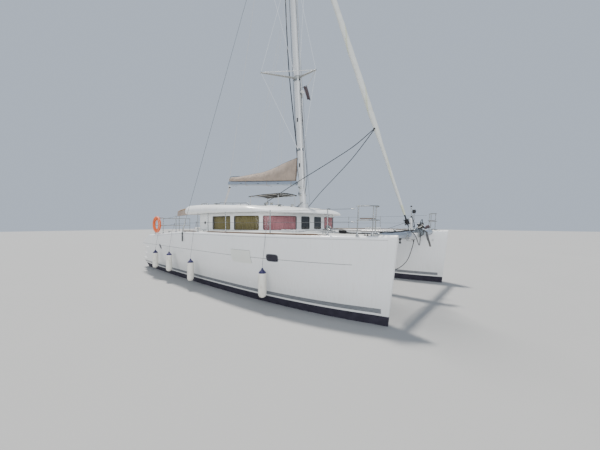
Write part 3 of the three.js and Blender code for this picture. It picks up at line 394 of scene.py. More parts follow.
class Build:
    """Gathers closed shapes into one mesh piece."""

    def __init__(self):
        self.points, self.faces, self.slots = [], [], []

    def take(self, points, faces, slot=0):
        start = len(self.points)
        self.points.extend(tuple(p) for p in points)
        self.faces.extend([i + start for i in face] for face in faces)
        self.slots.extend([slot] * len(faces))

    def loft(self, rings, slot=0, caps=True, closed=False):
        """A skin over rows of points. Slot may be a function of the row and the place in it."""
        count = len(rings[0])
        start = len(self.points)
        self.points.extend(tuple(p) for ring in rings for p in ring)
        rows = len(rings)
        for row in range(rows if closed else rows - 1):
            for i in range(count):
                j = (i + 1) % count
                a, b = start + row * count, start + ((row + 1) % rows) * count
                self.faces.append([a + i, a + j, b + j, b + i])
                self.slots.append(slot(row, i) if callable(slot) else slot)
        if caps and not closed:
            flat = slot(0, 0) if callable(slot) else slot
            self.faces.append([start + i for i in reversed(range(count))])
            self.faces.append([start + (rows - 1) * count + i for i in range(count)])
            self.slots.extend([flat, flat])

    def tube(self, points, radius, sides=10, slot=0, closed=False, flat=1.0):
        """A round bar along points. Radius may be a list; flat squeezes it one way."""
        points = [Vector(p) for p in points]
        count = len(points)
        radii = radius if isinstance(radius, (list, tuple)) else [radius] * count
        ways = []
        for i in range(count):
            before = points[(i - 1) % count] if closed or i > 0 else points[i]
            after = points[(i + 1) % count] if closed or i < count - 1 else points[i]
            ways.append((after - before).normalized())
        side = ways[0].orthogonal().normalized()
        rings = []
        for way, point, size in zip(ways, points, radii):
            side = (side - way * side.dot(way)).normalized()
            up = way.cross(side)
            rings.append([point + (side * cos(a) + up * sin(a) * flat) * size for a in turns(sides)])
        self.loft(rings, slot, closed=closed)

    def turn(self, profile, origin=(0, 0, 0), way=(0, 0, 1), sides=24, slot=0):
        """A turned shape: profile rows are radius and height along the way. Radius 0 closes it."""
        spin = Vector((0, 0, 1)).rotation_difference(Vector(way)).to_matrix()
        origin = Vector(origin)
        rings = []
        for radius, height in profile:
            radius = max(radius, 0.0002)
            rings.append([origin + spin @ Vector((radius * cos(a), radius * sin(a), height))
                          for a in turns(sides)])
        self.loft(rings, slot)

    def block(self, low, high, round_=0.005, slot=0, matrix=None, segments=2):
        """A box with rounded edges."""
        low, high = Vector(low), Vector(high)
        body = bmesh.new()
        bmesh.ops.create_cube(body, size=1)
        size = high - low
        for vertex in body.verts:
            vertex.co = Vector(c * s for c, s in zip(vertex.co, size)) + (low + high) / 2
        if round_:
            bmesh.ops.bevel(body, geom=body.edges[:], offset=min(round_, min(size) * 0.45), segments=segments,
                            affect="EDGES", profile=0.5)
        if matrix:
            bmesh.ops.transform(body, matrix=matrix, verts=body.verts[:])
        body.verts.index_update()
        self.take([v.co for v in body.verts], [[v.index for v in f.verts] for f in body.faces], slot)
        body.free()

    def piece(self, name, body, slot, materials, angle=35, replaces=()):
        """Cleans and shades the mesh, and makes it a piece. It rides on a body, unless that is None."""
        mesh = bpy.data.meshes.new(name)
        mesh.from_pydata(self.points, [], self.faces)
        mesh.polygons.foreach_set("material_index", self.slots)
        for paint in materials:
            mesh.materials.append(M[paint])
        clean_up(mesh, merge=True)
        obj = bpy.data.objects.new(name, mesh)
        bpy.context.collection.objects.link(obj)
        shade(obj, angle)
        if body:
            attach(obj, body)
        if replaces:
            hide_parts(*replaces)
        return obj


def carve(obj, cutters):
    """Cuts solids out of a piece, and keeps the result as its mesh."""
    for i, build in enumerate(cutters):
        mesh = bpy.data.meshes.new(f"cut_{i}")
        mesh.from_pydata(build.points, [], build.faces)
        clean_up(mesh)
        for paint in obj.data.materials:
            mesh.materials.append(paint)
        tool = bpy.data.objects.new(f"cut_{i}", mesh)
        bpy.context.collection.objects.link(tool)
        modifier = obj.modifiers.new("cut", "BOOLEAN")
        modifier.operation = "DIFFERENCE"
        modifier.solver = "EXACT"
        modifier.object = tool
        bpy.context.view_layer.update()
        done = bpy.data.meshes.new_from_object(obj.evaluated_get(bpy.context.evaluated_depsgraph_get()))
        obj.modifiers.clear()
        obj.data = done
        bpy.data.objects.remove(tool)


# Hulls: half breadths and heights by x, as in the frame
STATIONS = [
    # x, deck outboard, knuckle, deck inboard, waterline, sheer, bottom
    (6.10, 0.045, 0.038, 0.040, 0.018, 1.840, -0.040),
    (5.80, 0.200, 0.150, 0.150, 0.070, 1.840, -0.190),
    (5.50, 0.330, 0.265, 0.240, 0.135, 1.840, -0.300),
    (5.00, 0.520, 0.445, 0.340, 0.235, 1.840, -0.420),
    (4.00, 0.800, 0.720, 0.480, 0.395, 1.840, -0.540),
    (3.00, 0.970, 0.900, 0.560, 0.500, 1.840, -0.600),
    (2.00, 1.070, 1.005, 0.600, 0.565, 1.840, -0.625),
    (0.00, 1.100, 1.040, 0.620, 0.620, 1.835, -0.625),
    (-1.30, 1.100, 1.040, 0.620, 0.620, 1.810, -0.600),
    (-3.65, 1.095, 1.035, 0.620, 0.580, 1.655, -0.440),
    (-5.00, 1.080, 1.020, 0.620, 0.520, 1.630, -0.230),
    (-5.90, 1.060, 1.000, 0.610, 0.470, 1.620, -0.060),
]
OUT, KNEE, INNER, WATER, SHEER, BOTTOM = range(1, 7)


def at(column, x):
    """A hull measure at x, on a smooth curve through its stations."""
    rows = len(STATIONS)
    i = 0
    while i < rows - 2 and x < STATIONS[i + 1][0]:
        i += 1

    def slope(k):
        a, b = STATIONS[max(k - 1, 0)], STATIONS[min(k + 1, rows - 1)]
        return (b[column] - a[column]) / (b[0] - a[0])

    a, b = STATIONS[i], STATIONS[i + 1]
    span, rise = b[0] - a[0], b[column] - a[column]
    t = (x - a[0]) / span
    m, n = slope(i) * span, slope(i + 1) * span
    return a[column] + t * m + t * t * (3 * rise - 2 * m - n) + t ** 3 * (m + n - 2 * rise)


def edge(x, inset=0.0):
    """How far the deck's outboard edge lies from the boat's centreline."""
    return HULL_Y + at(OUT, x) - inset


def side_at(x, z, column=KNEE):
    """Half breadth of the topsides at a height, outboard or inboard."""
    knee = at(KNEE, x) if column == KNEE else at(INNER, x) * 0.97
    top = at(OUT, x) if column == KNEE else at(INNER, x)
    water = at(WATER, x)
    middle = water + (knee - water) * 0.56
    rows = [(0.0, water), (KNUCKLE / 2, middle), (KNUCKLE, knee), (at(SHEER, x) - 0.06, top)]
    for (z0, y0), (z1, y1) in zip(rows, rows[1:]):
        if z <= z1:
            return y0 + (y1 - y0) * (z - z0) / (z1 - z0)
    return top


def hull_half(x, column):
    """Half a hull's section, from the keel line up to the deck: distance out and height."""
    deck_out, water, sheer, depth = at(column, x), at(WATER, x), at(SHEER, x), at(BOTTOM, x)
    knee = at(KNEE, x) if column == OUT else at(INNER, x) * 0.97
    points = []
    for i in range(1, 11):
        turn = i / 10 * pi / 2
        points.append((water * sin(turn) ** 0.85, depth * max(0.0, cos(turn)) ** 0.9))
    middle = water + (knee - water) * 0.56
    for t in (0.33, 0.66, 1.0):
        points.append((water + (middle - water) * t, KNUCKLE / 2 * t))
    for t in (0.33, 0.66, 1.0):
        points.append((middle + (knee - middle) * t, KNUCKLE / 2 * (1 + t)))
    radius = min(0.06, deck_out * 0.4)
    points.append((knee + (deck_out - knee) * 0.5, KNUCKLE + (sheer - radius - KNUCKLE) * 0.5))
    for i in range(7):
        turn = i / 6 * pi / 2
        points.append((deck_out - radius * (1 - cos(turn)), sheer - radius * (1 - sin(turn))))
    points.append((max(deck_out - 0.10, deck_out * 0.35), sheer + CAMBER * 0.12))
    return points


HULL_STEPS = 110
TREADS = [(-3.85, 1.35), (-4.4, 1.06), (-4.9, 0.77), (-5.35, 0.48)]
SWEEP = -3.65
BULWARK = 0.09


def lean(x, z):
    """Where a station stands at a height: the stem leans aft below the deck."""
    return x - STEM_RAKE * max(0.0, (x - 4.6) / (BOW - 4.6)) * (1 - z / DECK)


def hull_piece(side):
    """A hull's skin and deck, with its stern cut to shape."""
    sign = SIDES[side]
    build = Build()
    rings = []
    for i in range(HULL_STEPS + 1):
        t = i / HULL_STEPS
        x = BOW + (STERN - BOW) * (0.55 * t + 0.45 * t * t)
        place = lambda out, z: (lean(x, z), sign * (HULL_Y + out), z)
        ring = [place(0, at(BOTTOM, x)), *(place(*p) for p in hull_half(x, OUT))]
        ring.append(place(0, at(SHEER, x) + CAMBER))
        ring.extend(place(-out, z) for out, z in reversed(hull_half(x, INNER)))
        rings.append(ring)
    half = len(hull_half(0, OUT))
    deck_faces = {half, half + 1}
    build.loft(rings, lambda row, i: 1 if i in deck_faces and row > 3 else 0)
    hull = build.piece(f"hull_shell_{side}", "boat", "gelcoat", ["topsides", "deck", "gelcoat"],
                       replaces=[f"hull_{side}"])
    carve(hull, stern_tools(sign))
    return shade(hull, 28)


def across(profile, low, high, slot=2):
    """A side view, as x and z, drawn across the boat."""
    build = Build()
    build.loft([[(x, low, z) for x, z in profile], [(x, high, z) for x, z in profile]], slot)
    return build


def stern_tools(sign):
    """What is cut from a stern: the sweep of its top, and its steps inside the bulwark."""
    start, middle, end = (SWEEP, 1.68), (-4.75, 1.56), (STERN - 0.02, 0.56)
    sweep = [(SWEEP, 1.9)]
    for i in range(25):
        t = i / 24
        sweep.append(tuple((1 - t) ** 2 * a + 2 * t * (1 - t) * b + t * t * c
                           for a, b, c in zip(start, middle, end)))
    sweep.append((STERN - 0.02, 1.9))
    steps = [(TREADS[0][0], 1.9)]
    for i, (x, z) in enumerate(TREADS):
        steps.extend([(x, z), (TREADS[i + 1][0] if i < 3 else STERN - 0.02, z)])
    steps.append((STERN - 0.02, 1.9))
    outer = HULL_Y + at(OUT, -4.9) - BULWARK
    tools = []
    for profile, reach in ((sweep, HULL_Y + 1.4), (steps, outer)):
        ends = sorted((sign * (HULL_Y - 0.9), sign * reach))
        tools.append(across(profile, *ends))
    return tools


# Cabin plan, by distance along it from the middle of the front
def curve(points, steps):
    """Points on a centripetal curve through the given ones."""
    points = [Vector(p) for p in points]
    ends = [points[0] * 2 - points[1], *points, points[-1] * 2 - points[-2]]
    result = []
    for a, b, c, d in zip(ends, ends[1:], ends[2:], ends[3:]):
        first, second, third = [(q - p).length ** 0.5 for p, q in ((a, b), (b, c), (c, d))]
        leave = ((b - a) / first - (c - a) / (first + second) + (c - b) / second) * second
        reach = ((c - b) / second - (d - b) / (second + third) + (d - c) / third) * second
        for k in range(steps):
            t = k / steps
            result.append(b + leave * t + (-3 * b + 3 * c - 2 * leave - reach) * t * t
                          + (2 * b - 2 * c + leave + reach) * t ** 3)
    return [*result, points[-1]]


class Run:
    """A plan line measured by its length, with its outward direction."""

    def __init__(self, points):
        self.points = curve([(*p, 0) for p in points], 30)
        self.lengths = [0.0]
        for a, b in zip(self.points, self.points[1:]):
            self.lengths.append(self.lengths[-1] + (b - a).length)
        self.total = self.lengths[-1]

    def at(self, distance, out=0.0, sign=1):
        i = min(max(bisect_right(self.lengths, distance) - 1, 0), len(self.points) - 2)
        a, b = self.points[i], self.points[i + 1]
        t = (distance - self.lengths[i]) / max(self.lengths[i + 1] - self.lengths[i], 1e-9)
        point = a.lerp(b, t)
        before, after = self.points[max(i - 1, 0)], self.points[min(i + 2, len(self.points) - 1)]
        way = (after - before).normalized()
        point = point + Vector((way.y, -way.x, 0)) * out
        return Vector((point.x, point.y * sign, 0))


CABIN = Run([(2.0, 0), (1.965, 0.9), (1.88, 1.7), (1.5, 2.15), (1.15, 2.4), (0.7, 2.56), (0, 2.66),
             (-1.28, 2.75)])
ROOF = Run([(2.40, 0), (2.355, 0.95), (2.19, 1.76), (1.76, 2.32), (1.15, 2.70), (0, 2.9), (-1.28, 2.99),
            (-1.7, 2.99), (-1.94, 2.99), (-2.07, 2.955), (-2.165, 2.86), (-2.2, 2.73), (-2.2, 2.45),
            (-2.2, 0)])
WINDOWS = [(0.14, 0.61, "dark_glass"), (0.85, 2.2, "pink"), (2.33, 3.25, "olive"), (3.42, 4.39, "olive")]
PANE_ROUND = 0.045
CABIN_FOOT = 1.78
SALOON_FLOOR = 1.0003
DOOR_LOW, DOOR_HIGH = -0.15, 0.70


def window_levels(distance):
    """The sill and head of the window at a distance along the plan, or None."""
    for start, stop, _ in WINDOWS:
        if start <= distance <= stop:
            near = min(distance - start, stop - distance)
            lost = 0.0
            if near < PANE_ROUND:
                lost = PANE_ROUND - sqrt(max(0.0, PANE_ROUND ** 2 - (PANE_ROUND - near) ** 2))
            return WINDOW_LOW + lost, WINDOW_HIGH - lost
    return None


def cabin_stops():
    """Distances along the cabin's plan at which its wall has a column of points."""
    marks = {0.0, CABIN.total}
    for start, stop, _ in WINDOWS:
        for edge_at, inward in ((start, 1), (stop, -1)):
            for step in (0, 0.12, 0.35, 0.7, 1.0):
                marks.add(round(edge_at + inward * PANE_ROUND * (1 - cos(step * pi / 2)), 6))
    step = 0.0
    while step < CABIN.total:
        if all(abs(step - mark) > 0.015 for mark in marks):
            marks.add(step)
        step += 0.06
    return sorted(marks)


def cabin_wall():
    """Two skins with a rim in each window, and the bulkhead aft with its doorway."""
    build = Build()
    marks = cabin_stops()
    top = ROOF_LOW + 0.01
    last = len(marks) - 1
    for sign in (-1, 1):
        start = len(build.points)
        for distance in marks:
            levels = window_levels(distance) or (WINDOW_LOW, WINDOW_HIGH)
            for out in (0.0, -WALL):
                spot = CABIN.at(distance, out, sign)
                build.points.extend((spot.x, spot.y, z) for z in (CABIN_FOOT, *levels, top))
        faces = []

        def quad(*corners):
            """A face through four points, each named by its column, row and skin."""
            faces.append([start + column * 8 + skin * 4 + row for column, row, skin in corners])

        for i in range(last):
            glazed = window_levels((marks[i] + marks[i + 1]) / 2) is not None
            for skin in (0, 1):
                for row in (0, 1, 2):
                    if row == 1 and glazed:
                        continue
                    quad((i, row, skin), (i + 1, row, skin), (i + 1, row + 1, skin), (i, row + 1, skin))
            if glazed:
                for row in (1, 2):
                    quad((i, row, 0), (i + 1, row, 0), (i + 1, row, 1), (i, row, 1))
                before = (marks[i - 1] + marks[i]) / 2 if i else -1
                beyond = (marks[i + 1] + marks[min(i + 2, last)]) / 2
                for column, neighbour in ((i, before), (i + 1, beyond)):
                    if window_levels(neighbour) is None:
                        quad((column, 1, 0), (column, 2, 0), (column, 2, 1), (column, 1, 1))
            for row in (0, 3):
                quad((i, row, 0), (i + 1, row, 0), (i + 1, row, 1), (i, row, 1))
        for row in (0, 1, 2):
            quad((last, row, 0), (last, row + 1, 0), (last, row + 1, 1), (last, row, 1))
        build.faces.extend(faces)
        build.slots.extend([0] * len(faces))
    side, lintel = 2.752, 2.38
    for low, high, foot in ((-side, DOOR_LOW, CABIN_FOOT), (DOOR_HIGH, side, CABIN_FOOT),
                            (DOOR_LOW, DOOR_HIGH, lintel)):
        build.block((CABIN_AFT - 0.001, low, foot), (CABIN_AFT + WALL, high, top), 0.004)
    # The door's track
    build.block((-1.318, -1.07, 2.392), (-1.27, 0.76, 2.43), 0.006)
    build.piece("cabin_sides", "boat", "gelcoat", ["gelcoat"], 30, ["cabin_wall"])


def outline_of(start, stop, sign, out, inset):
    """A window's rounded outline on the cabin's side, as points."""
    points = []
    low, high, start, stop = WINDOW_LOW + inset, WINDOW_HIGH - inset, start + inset, stop - inset
    radius = max(0.012, PANE_ROUND - inset)
    span, count = start - stop + 2 * radius, max(2, int(abs(stop - start) / 0.08))
    corners = [(stop, low, -90), (stop, high, 0), (start, high, 90), (start, low, 180)]
    for number, (along, z, turn) in enumerate(corners):
        centre = (along + (-radius if along == stop else radius), z + (radius if z == low else -radius))
        for k in range(5):
            angle = radians(turn + 22.5 * k)
            points.append((centre[0] + radius * cos(angle), centre[1] + radius * sin(angle)))
        if corners[(number + 1) % 4][1] == z:
            towards = 1 if along == stop else -1
            points.extend((centre[0] + span * (k / count) * towards, z) for k in range(1, count))
    spots = [(CABIN.at(along, out, sign), z) for along, z in points]
    return [(spot.x, spot.y, z) for spot, z in spots]


def windows():
    """Panes in rubber seals, a round vent aft of them, and a curtain behind each clear pane."""
    frames, panes, curtains = Build(), Build(), {"pink": [], "olive": []}
    # How far each edge of a seal stands out from the wall, and how far in from the opening
    seal = [(-0.002, -0.003), (0.003, -0.001), (0.003, 0.007), (-0.03, 0.007), (-0.03, 0.0005)]
    front, rear, lap = -0.014, -0.020, 0.004
    vent_at, vent_up = 4.86, 2.13
    vent_shape = [(0, 0), (0.05, 0), (0.052, 0.006), (0.046, 0.014), (0.030, 0.012), (0.012, 0.016),
                  (0, 0.017)]
    for sign in (-1, 1):
        for start, stop, kind in WINDOWS:
            edges = [outline_of(start, stop, sign, out, inset) for out, inset in seal]
            frames.loft(list(zip(*edges)), 0, closed=True)
            count = max(6, int((stop - start) / 0.07))
            columns = []
            for k in range(count + 1):
                along = start + lap + (stop - start - 2 * lap) * k / count
                low, high = window_levels(along)
                near, far = CABIN.at(along, front, sign), CABIN.at(along, rear, sign)
                columns.append([(near.x, near.y, low), (near.x, near.y, high), (far.x, far.y, high),
                                (far.x, far.y, low)])
            panes.loft(columns, 1 if kind == "dark_glass" else 0)
            if kind in curtains:
                curtains[kind].append((start, stop, sign))
        place, beyond = CABIN.at(vent_at, -0.004, sign), CABIN.at(vent_at, 1.0, sign)
        frames.turn(vent_shape, place + Vector((0, 0, vent_up)), (beyond - place).normalized(), 24)
    frames.piece("window_seals", "boat", "glass", ["rubber"], 40)
    panes.piece("window_panes", "boat", "glass", ["glass", "dark_glass"], 40, ["window_glass"])
    overlap = 0.055
    for kind, places in curtains.items():
        for number, (start, stop, sign) in enumerate(places):
            curtain(f"curtain_{kind}_{number}", kind, start - overlap, stop + overlap, sign)


def curtain(name, paint, start, stop, sign):
    """A pleated curtain that hangs behind a pane from its rail."""
    build = Build()
    width = stop - start
    pleats = round(width / 0.085)
    count = pleats * 8
    top, low, thick = WINDOW_HIGH + 0.035, WINDOW_LOW - 0.05, 0.0015
    rows = 9
    grid = []
    wobble = [random.uniform(-0.5, 0.5) for _ in range(pleats + 2)]
    for row in range(rows + 1):
        v = row / rows
        line = []
        for k in range(count + 1):
            u = k / count
            here = wobble[int(u * pleats)]
            phase = u * pleats * 2 * pi + here * 0.5 * v
            deep = (0.012 + 0.014 * v) * (0.85 + 0.3 * here)
            swing = deep * sin(phase) + 0.003 * sin(3 * phase + v * 4 + here)
            line.append(CABIN.at(start + width * u + 0.006 * v * sin(phase * 0.5), -0.095 - swing, sign)
                        + Vector((0, 0, top + (low - top) * v + 0.004 * sin(phase) * v)))
        grid.append(line)
    for side in (0, 1):
        base = len(build.points)
        for line in grid:
            for k, point in enumerate(line):
                after, before = line[min(k + 1, count)], line[max(k - 1, 0)]
                way = (after - before).normalized()
                build.points.append(tuple(point + Vector((way.y, -way.x, 0)) * thick * side))
        for row in range(rows):
            for k in range(count):
                a = base + row * (count + 1) + k
                build.faces.append([a, a + 1, a + count + 2, a + count + 1])
                build.slots.append(0)
    size = (rows + 1) * (count + 1)
    border = [*range(count), *[(r + 1) * (count + 1) - 1 for r in range(rows)],
              *[rows * (count + 1) + k for k in reversed(range(1, count + 1))],
              *[r * (count + 1) for r in reversed(range(1, rows + 1))]]
    for a, b in zip(border, border[1:] + border[:1]):
        build.faces.append([a, b, b + size, a + size])
        build.slots.append(0)
    body = build.piece(name, "boat", "upholstery", [paint], 60)


def ease(value, start, stop):
    """From 0 at one value to 1 at another, with a soft start and end."""
    t = min(1.0, max(0.0, (value - start) / (stop - start)))
    return t * t * (3 - 2 * t)


def roof_crown(x):
    """How high the roof rises over its edge."""
    return 0.43 - 0.175 * ease(x, -1.6, 2.43)


# Inset at the sides, inset at the front, share of the crown's height
ROOF_ROWS = [(0.15, 0.085, 0.0), (0.13, 0.06, 0.0), (0.085, 0.04, 0.012), (0.05, 0.02, 0.03),
             (0.022, 0.006, 0.08), (0.01, 0.0, 0.14), (0.002, 0.016, 0.22), (0.0, 0.04, 0.3),
             (0.008, 0.085, 0.42), (0.025, 0.13, 0.52), (0.06, 0.205, 0.64), (0.11, 0.29, 0.74),
             (0.17, 0.375, 0.81)]
ROOF_SHRINK = [(0.08, 0.855), (0.18, 0.885), (0.32, 0.915), (0.48, 0.938), (0.66, 0.952), (0.84, 0.958),
               (0.97, 0.96)]
HELM_CUT = ((-2.4, 1.18, 2.3), (-1.30, 3.2, 3.1))
HEAD_ROOM = [((-1.049, -1.949, 2.31), (1.3, 1.949, 2.67)), ((-1.05, -1.95, 2.3), (0.2, 1.95, 2.75))]


def roof():
    """The moulded roof: it thins to a visor at the front, and its port quarter is open over the helm."""
    build = Build()
    aft, side = -2.2, 2.99
    marks = [ROOF.total * k / 150 for k in range(151)]
    outline = [(distance, 1) for distance in marks] + [(distance, -1) for distance in reversed(marks[1:-1])]
    rings = []
    for square, visor, share in ROOF_ROWS:
        ring = []
        for distance, sign in outline:
            front = ease(ROOF.at(distance).x, 1.2, 2.2)
            inset = square + (visor - square) * front
            spot = ROOF.at(distance, -inset, sign)
            if distance > ROOF.total * 0.4:
                spot.x = max(spot.x, aft + inset)
                spot.y = max(-side + inset, min(side - inset, spot.y))
            ring.append((spot.x, spot.y, ROOF_LOW + share * roof_crown(spot.x)))
        rings.append(ring)
    last = rings[-1]
    for pull, share in ROOF_SHRINK:
        ring = []
        for x, y, _ in last:
            spine = max(-1.5, min(1.3, x))
            nx = x + (spine - x) * pull
            ring.append((nx, y * (1 - pull), ROOF_LOW + share * roof_crown(nx)))
        rings.append(ring)
    build.loft(rings, lambda row, i: 1 if row >= len(ROOF_ROWS) - 1 else 0)
    body = build.piece("roof_shell", "boat", "gelcoat", ["gelcoat", "deck"], 40, ["cabin_roof"])
    cutters = []
    for low, high in (*HEAD_ROOM, HELM_CUT):
        tool = Build()
        tool.block(low, high, 0)
        cutters.append(tool)
    carve(body, cutters)
    return shade(body, 30)


def top_of(body):
    """Finds the height of a piece's top under a point."""
    above = 6.0
    mesh = body.data
    tree = BVHTree.FromPolygons([body.matrix_world @ v.co for v in mesh.vertices],
                                [list(p.vertices) for p in mesh.polygons])

    def height(x, y):
        hit = tree.ray_cast(Vector((x, y, above)), Vector((0, 0, -1)))
        return hit[0].z if hit[0] else None

    return height


# Mast and rigging
def mast_x(z):
    return MAST_FOOT[0] - MAST_RAKE * (z - MAST_FOOT[1])


def mast_ring(z, long=MAST_LONG, wide=MAST_WIDE, sides=36):
    return [Vector((mast_x(z) + long * cos(a), wide * sin(a), z)) for a in turns(sides)]


def mast():
    """The spar on its step, with the gooseneck's lugs, the track for the sail and the bands of the wires."""
    build = Build()
    levels = [2.55, 3.3, 5, 7, 9, 11, 13, 15, 17, 18.6]
    cap = [(19.2, 0.108, 0.08), (19.42, 0.097, 0.071), (19.445, 0.085, 0.06)]
    build.loft([mast_ring(z) for z in levels] + [mast_ring(*row) for row in cap])
    build.loft([mast_ring(*row) for row in ((2.56, 0.21, 0.165), (2.845, 0.21, 0.165), (2.862, 0.203, 0.158),
                                            (2.87, 0.185, 0.142))])
    # Gooseneck lugs and pin
    root = mast_x(3.7)
    for up in (-0.06, 0.06):
        build.turn(even([(0, 0.0145), (0.036, 0.0145), (0.038, 0.012)]), GOOSE + MAST_WAY * up, MAST_WAY, 24)
        build.block((GOOSE.x, -0.034, GOOSE.z + up - 0.01), (root - 0.02, 0.034, GOOSE.z + up + 0.01), 0.003)
    build.turn(even([(0, 0.076), (0.014, 0.076)]), GOOSE, MAST_WAY, 16)
    build.block((root - 0.158, -0.045, 3.59), (root - 0.12, 0.045, 3.81), 0.006)
    # Track along the aft face, and the bands that the wires start from
    build.loft([[Vector((mast_x(z) - MAST_LONG - 0.012, 0.016 * s, z)) for s in (-1, 1)]
                + [Vector((mast_x(z) - MAST_LONG + 0.01, 0.012 * s, z)) for s in (1, -1)]
                for z in (3.95, 18.5)], 1)
    for z in (5.0, 7.8, 12.42, 16.9):
        build.loft([mast_ring(z + dz, MAST_LONG + 0.004, MAST_WIDE + 0.004) for dz in (-0.05, 0.05)], 2)
    build.piece("mast_tube", "boat", "alloy", ["alloy", "black", "steel"], 30, ["mast"])
    mast_gear()
    mast_cloth()


SPREADERS = [("spreaders_lower", 7.895, 1.22, 0.76, 0.94), ("spreaders_upper", 12.5, 0.98, 0.60, 0.76)]


def mast_gear():
    """Masthead crane, winches, halyard exits, the jammer and the deck light with its lead."""
    gear = Build()
    top = mast_x(19.44)
    gear.block((top - 0.2, -0.02, 19.33), (top + 0.05, 0.02, 19.42), 0.006)
    for side in (-1, 1):
        y = side * (MAST_WIDE + 0.005)
        for z, size in ((3.22, 0.055), (3.5, 0.045)):
            drum = [(0, 0), (size, 0), (size, 0.02), (size * 0.72, 0.03), (size * 0.66, 0.07),
                    (size * 0.78, 0.095), (size * 0.8, 0.108), (size * 0.5, 0.115), (0, 0.115)]
            gear.turn(drum, (mast_x(z) - 0.01, y - side * 0.006, z), (0, side, 0), 22)
        for z in (4.3, 6.1):
            near, far = min(y, y - side * 0.008), max(y, y + side * 0.004)
            gear.block((mast_x(z) - 0.03, near, z), (mast_x(z) + 0.03, far, z + 0.16), 0.003, 1)
    # A jammer for the halyards on the mast's back, under the boom
    back = mast_x(3.29) - MAST_LONG
    gear.block((back - 0.045, -0.03, 3.235), (back + 0.01, 0.03, 3.36), 0.008, 1)
    gear.block((back - 0.085, -0.018, 3.27), (back - 0.03, 0.018, 3.30), 0.005, 1)
    # Deck light on the front of the mast, with the lead of the line that runs down past it
    light = mast_x(7.26) + MAST_LONG
    gear.block((light - 0.01, -0.035, 7.19), (light + 0.05, 0.035, 7.33), 0.008, 0)
    lamp_shape = [(0, 0), (0.048, 0), (0.062, 0.012), (0.066, 0.05), (0.060, 0.085), (0.046, 0.098),
                  (0.040, 0.09), (0, 0.088)]
    gear.turn(lamp_shape, (light + 0.04, 0, 7.28), (0.9, 0, -0.35), 26, 2)
    gear.tube([(mast_x(z) + MAST_LONG + out, 0.09, z)
               for z, out in ((7.49, -0.01), (7.505, 0.12), (7.50, 0.27))], 0.007, 8, 1)
    gear.piece("mast_gear", "boat", "steel", ["steel", "black", "gelcoat"], 35)


def mast_cloth():
    """A small weathered cloth hung from the light's bracket."""
    flag = Build()
    rows, columns = 20, 12
    top, fall, thick = 7.50, 0.60, 0.0045
    grid = [[Vector((mast_x(7.1) + MAST_LONG + 0.06 + 0.21 * r / rows + 0.17 * c / columns,
                     0.09 + 0.03 * sin(c * 1.15 + r * 0.16) * (0.35 + 0.65 * r / rows),
                     top - fall * r / rows + 0.03 * sin(c * 0.5)))
             for c in range(columns + 1)] for r in range(rows + 1)]
    flag.loft([row + [p + Vector((0, thick, 0)) for p in reversed(row)] for row in grid])
    body = flag.piece("mast_cloth", "boat", "canvas", ["mauve"], 80)


def spreader_tips(z, out, aft, fore):
    """The outer ends of one set: two that reach out and aft, and one forward."""
    centre = mast_x(z)
    return [Vector((centre - aft, -out, z - 0.03)), Vector((centre - aft, out, z - 0.03)),
            Vector((centre + fore, 0, z - 0.03))]


def blade(build, start, stop, half, thick):
    """A wing-shaped strut between two points."""
    taper = 0.62
    way = (stop - start).normalized()
    across = way.cross(Vector((0, 0, 1))).normalized()
    up = across.cross(way)
    rings = []
    for t in (0, 0.06, 0.5, 0.94, 1.0):
        scale = 1 - (1 - taper) * t
        if t in (0, 1.0):
            scale *= 0.8
        rings.append([start.lerp(stop, t) + across * half * scale * cos(a) + up * thick * scale * sin(a)
                      for a in turns(20)])
    build.loft(rings)


def spreaders():
    """Two sets of three struts, each on a band round the mast and with a tube between their tips."""
    band = [(-0.06, 0.002), (-0.06, 0.016), (-0.05, 0.02), (0.05, 0.02), (0.06, 0.016), (0.06, 0.002)]
    for name, z, out, aft, fore in SPREADERS:
        build = Build()
        centre = mast_x(z)
        rings = [mast_ring(z + dz, MAST_LONG + grow, MAST_WIDE + grow) for dz, grow in band]
        build.loft(rings, 0, caps=False, closed=True)
        tips = spreader_tips(z, out, aft, fore)
        roots = [Vector((centre - 0.07, -MAST_WIDE, z)), Vector((centre - 0.07, MAST_WIDE, z)),
                 Vector((centre + MAST_LONG, 0, z))]
        for root, tip in zip(roots, tips):
            blade(build, root, tip, 0.06, 0.03)
            build.turn(even([(0, 0.03), (0.02, 0.03), (0.026, 0.012)]), tip, (0, 0, 1), 18, 1)
        for a, b in ((0, 2), (2, 1)):
            build.tube([tips[a], tips[b]], 0.012, 10, 2)
        # The struts take the darker spreader grey: painted shade
        build.piece(name.replace("spreaders", "spreader_set"), "boat", "alloy",
                    ["spreader", "steel", "alloy"], 35, [name])


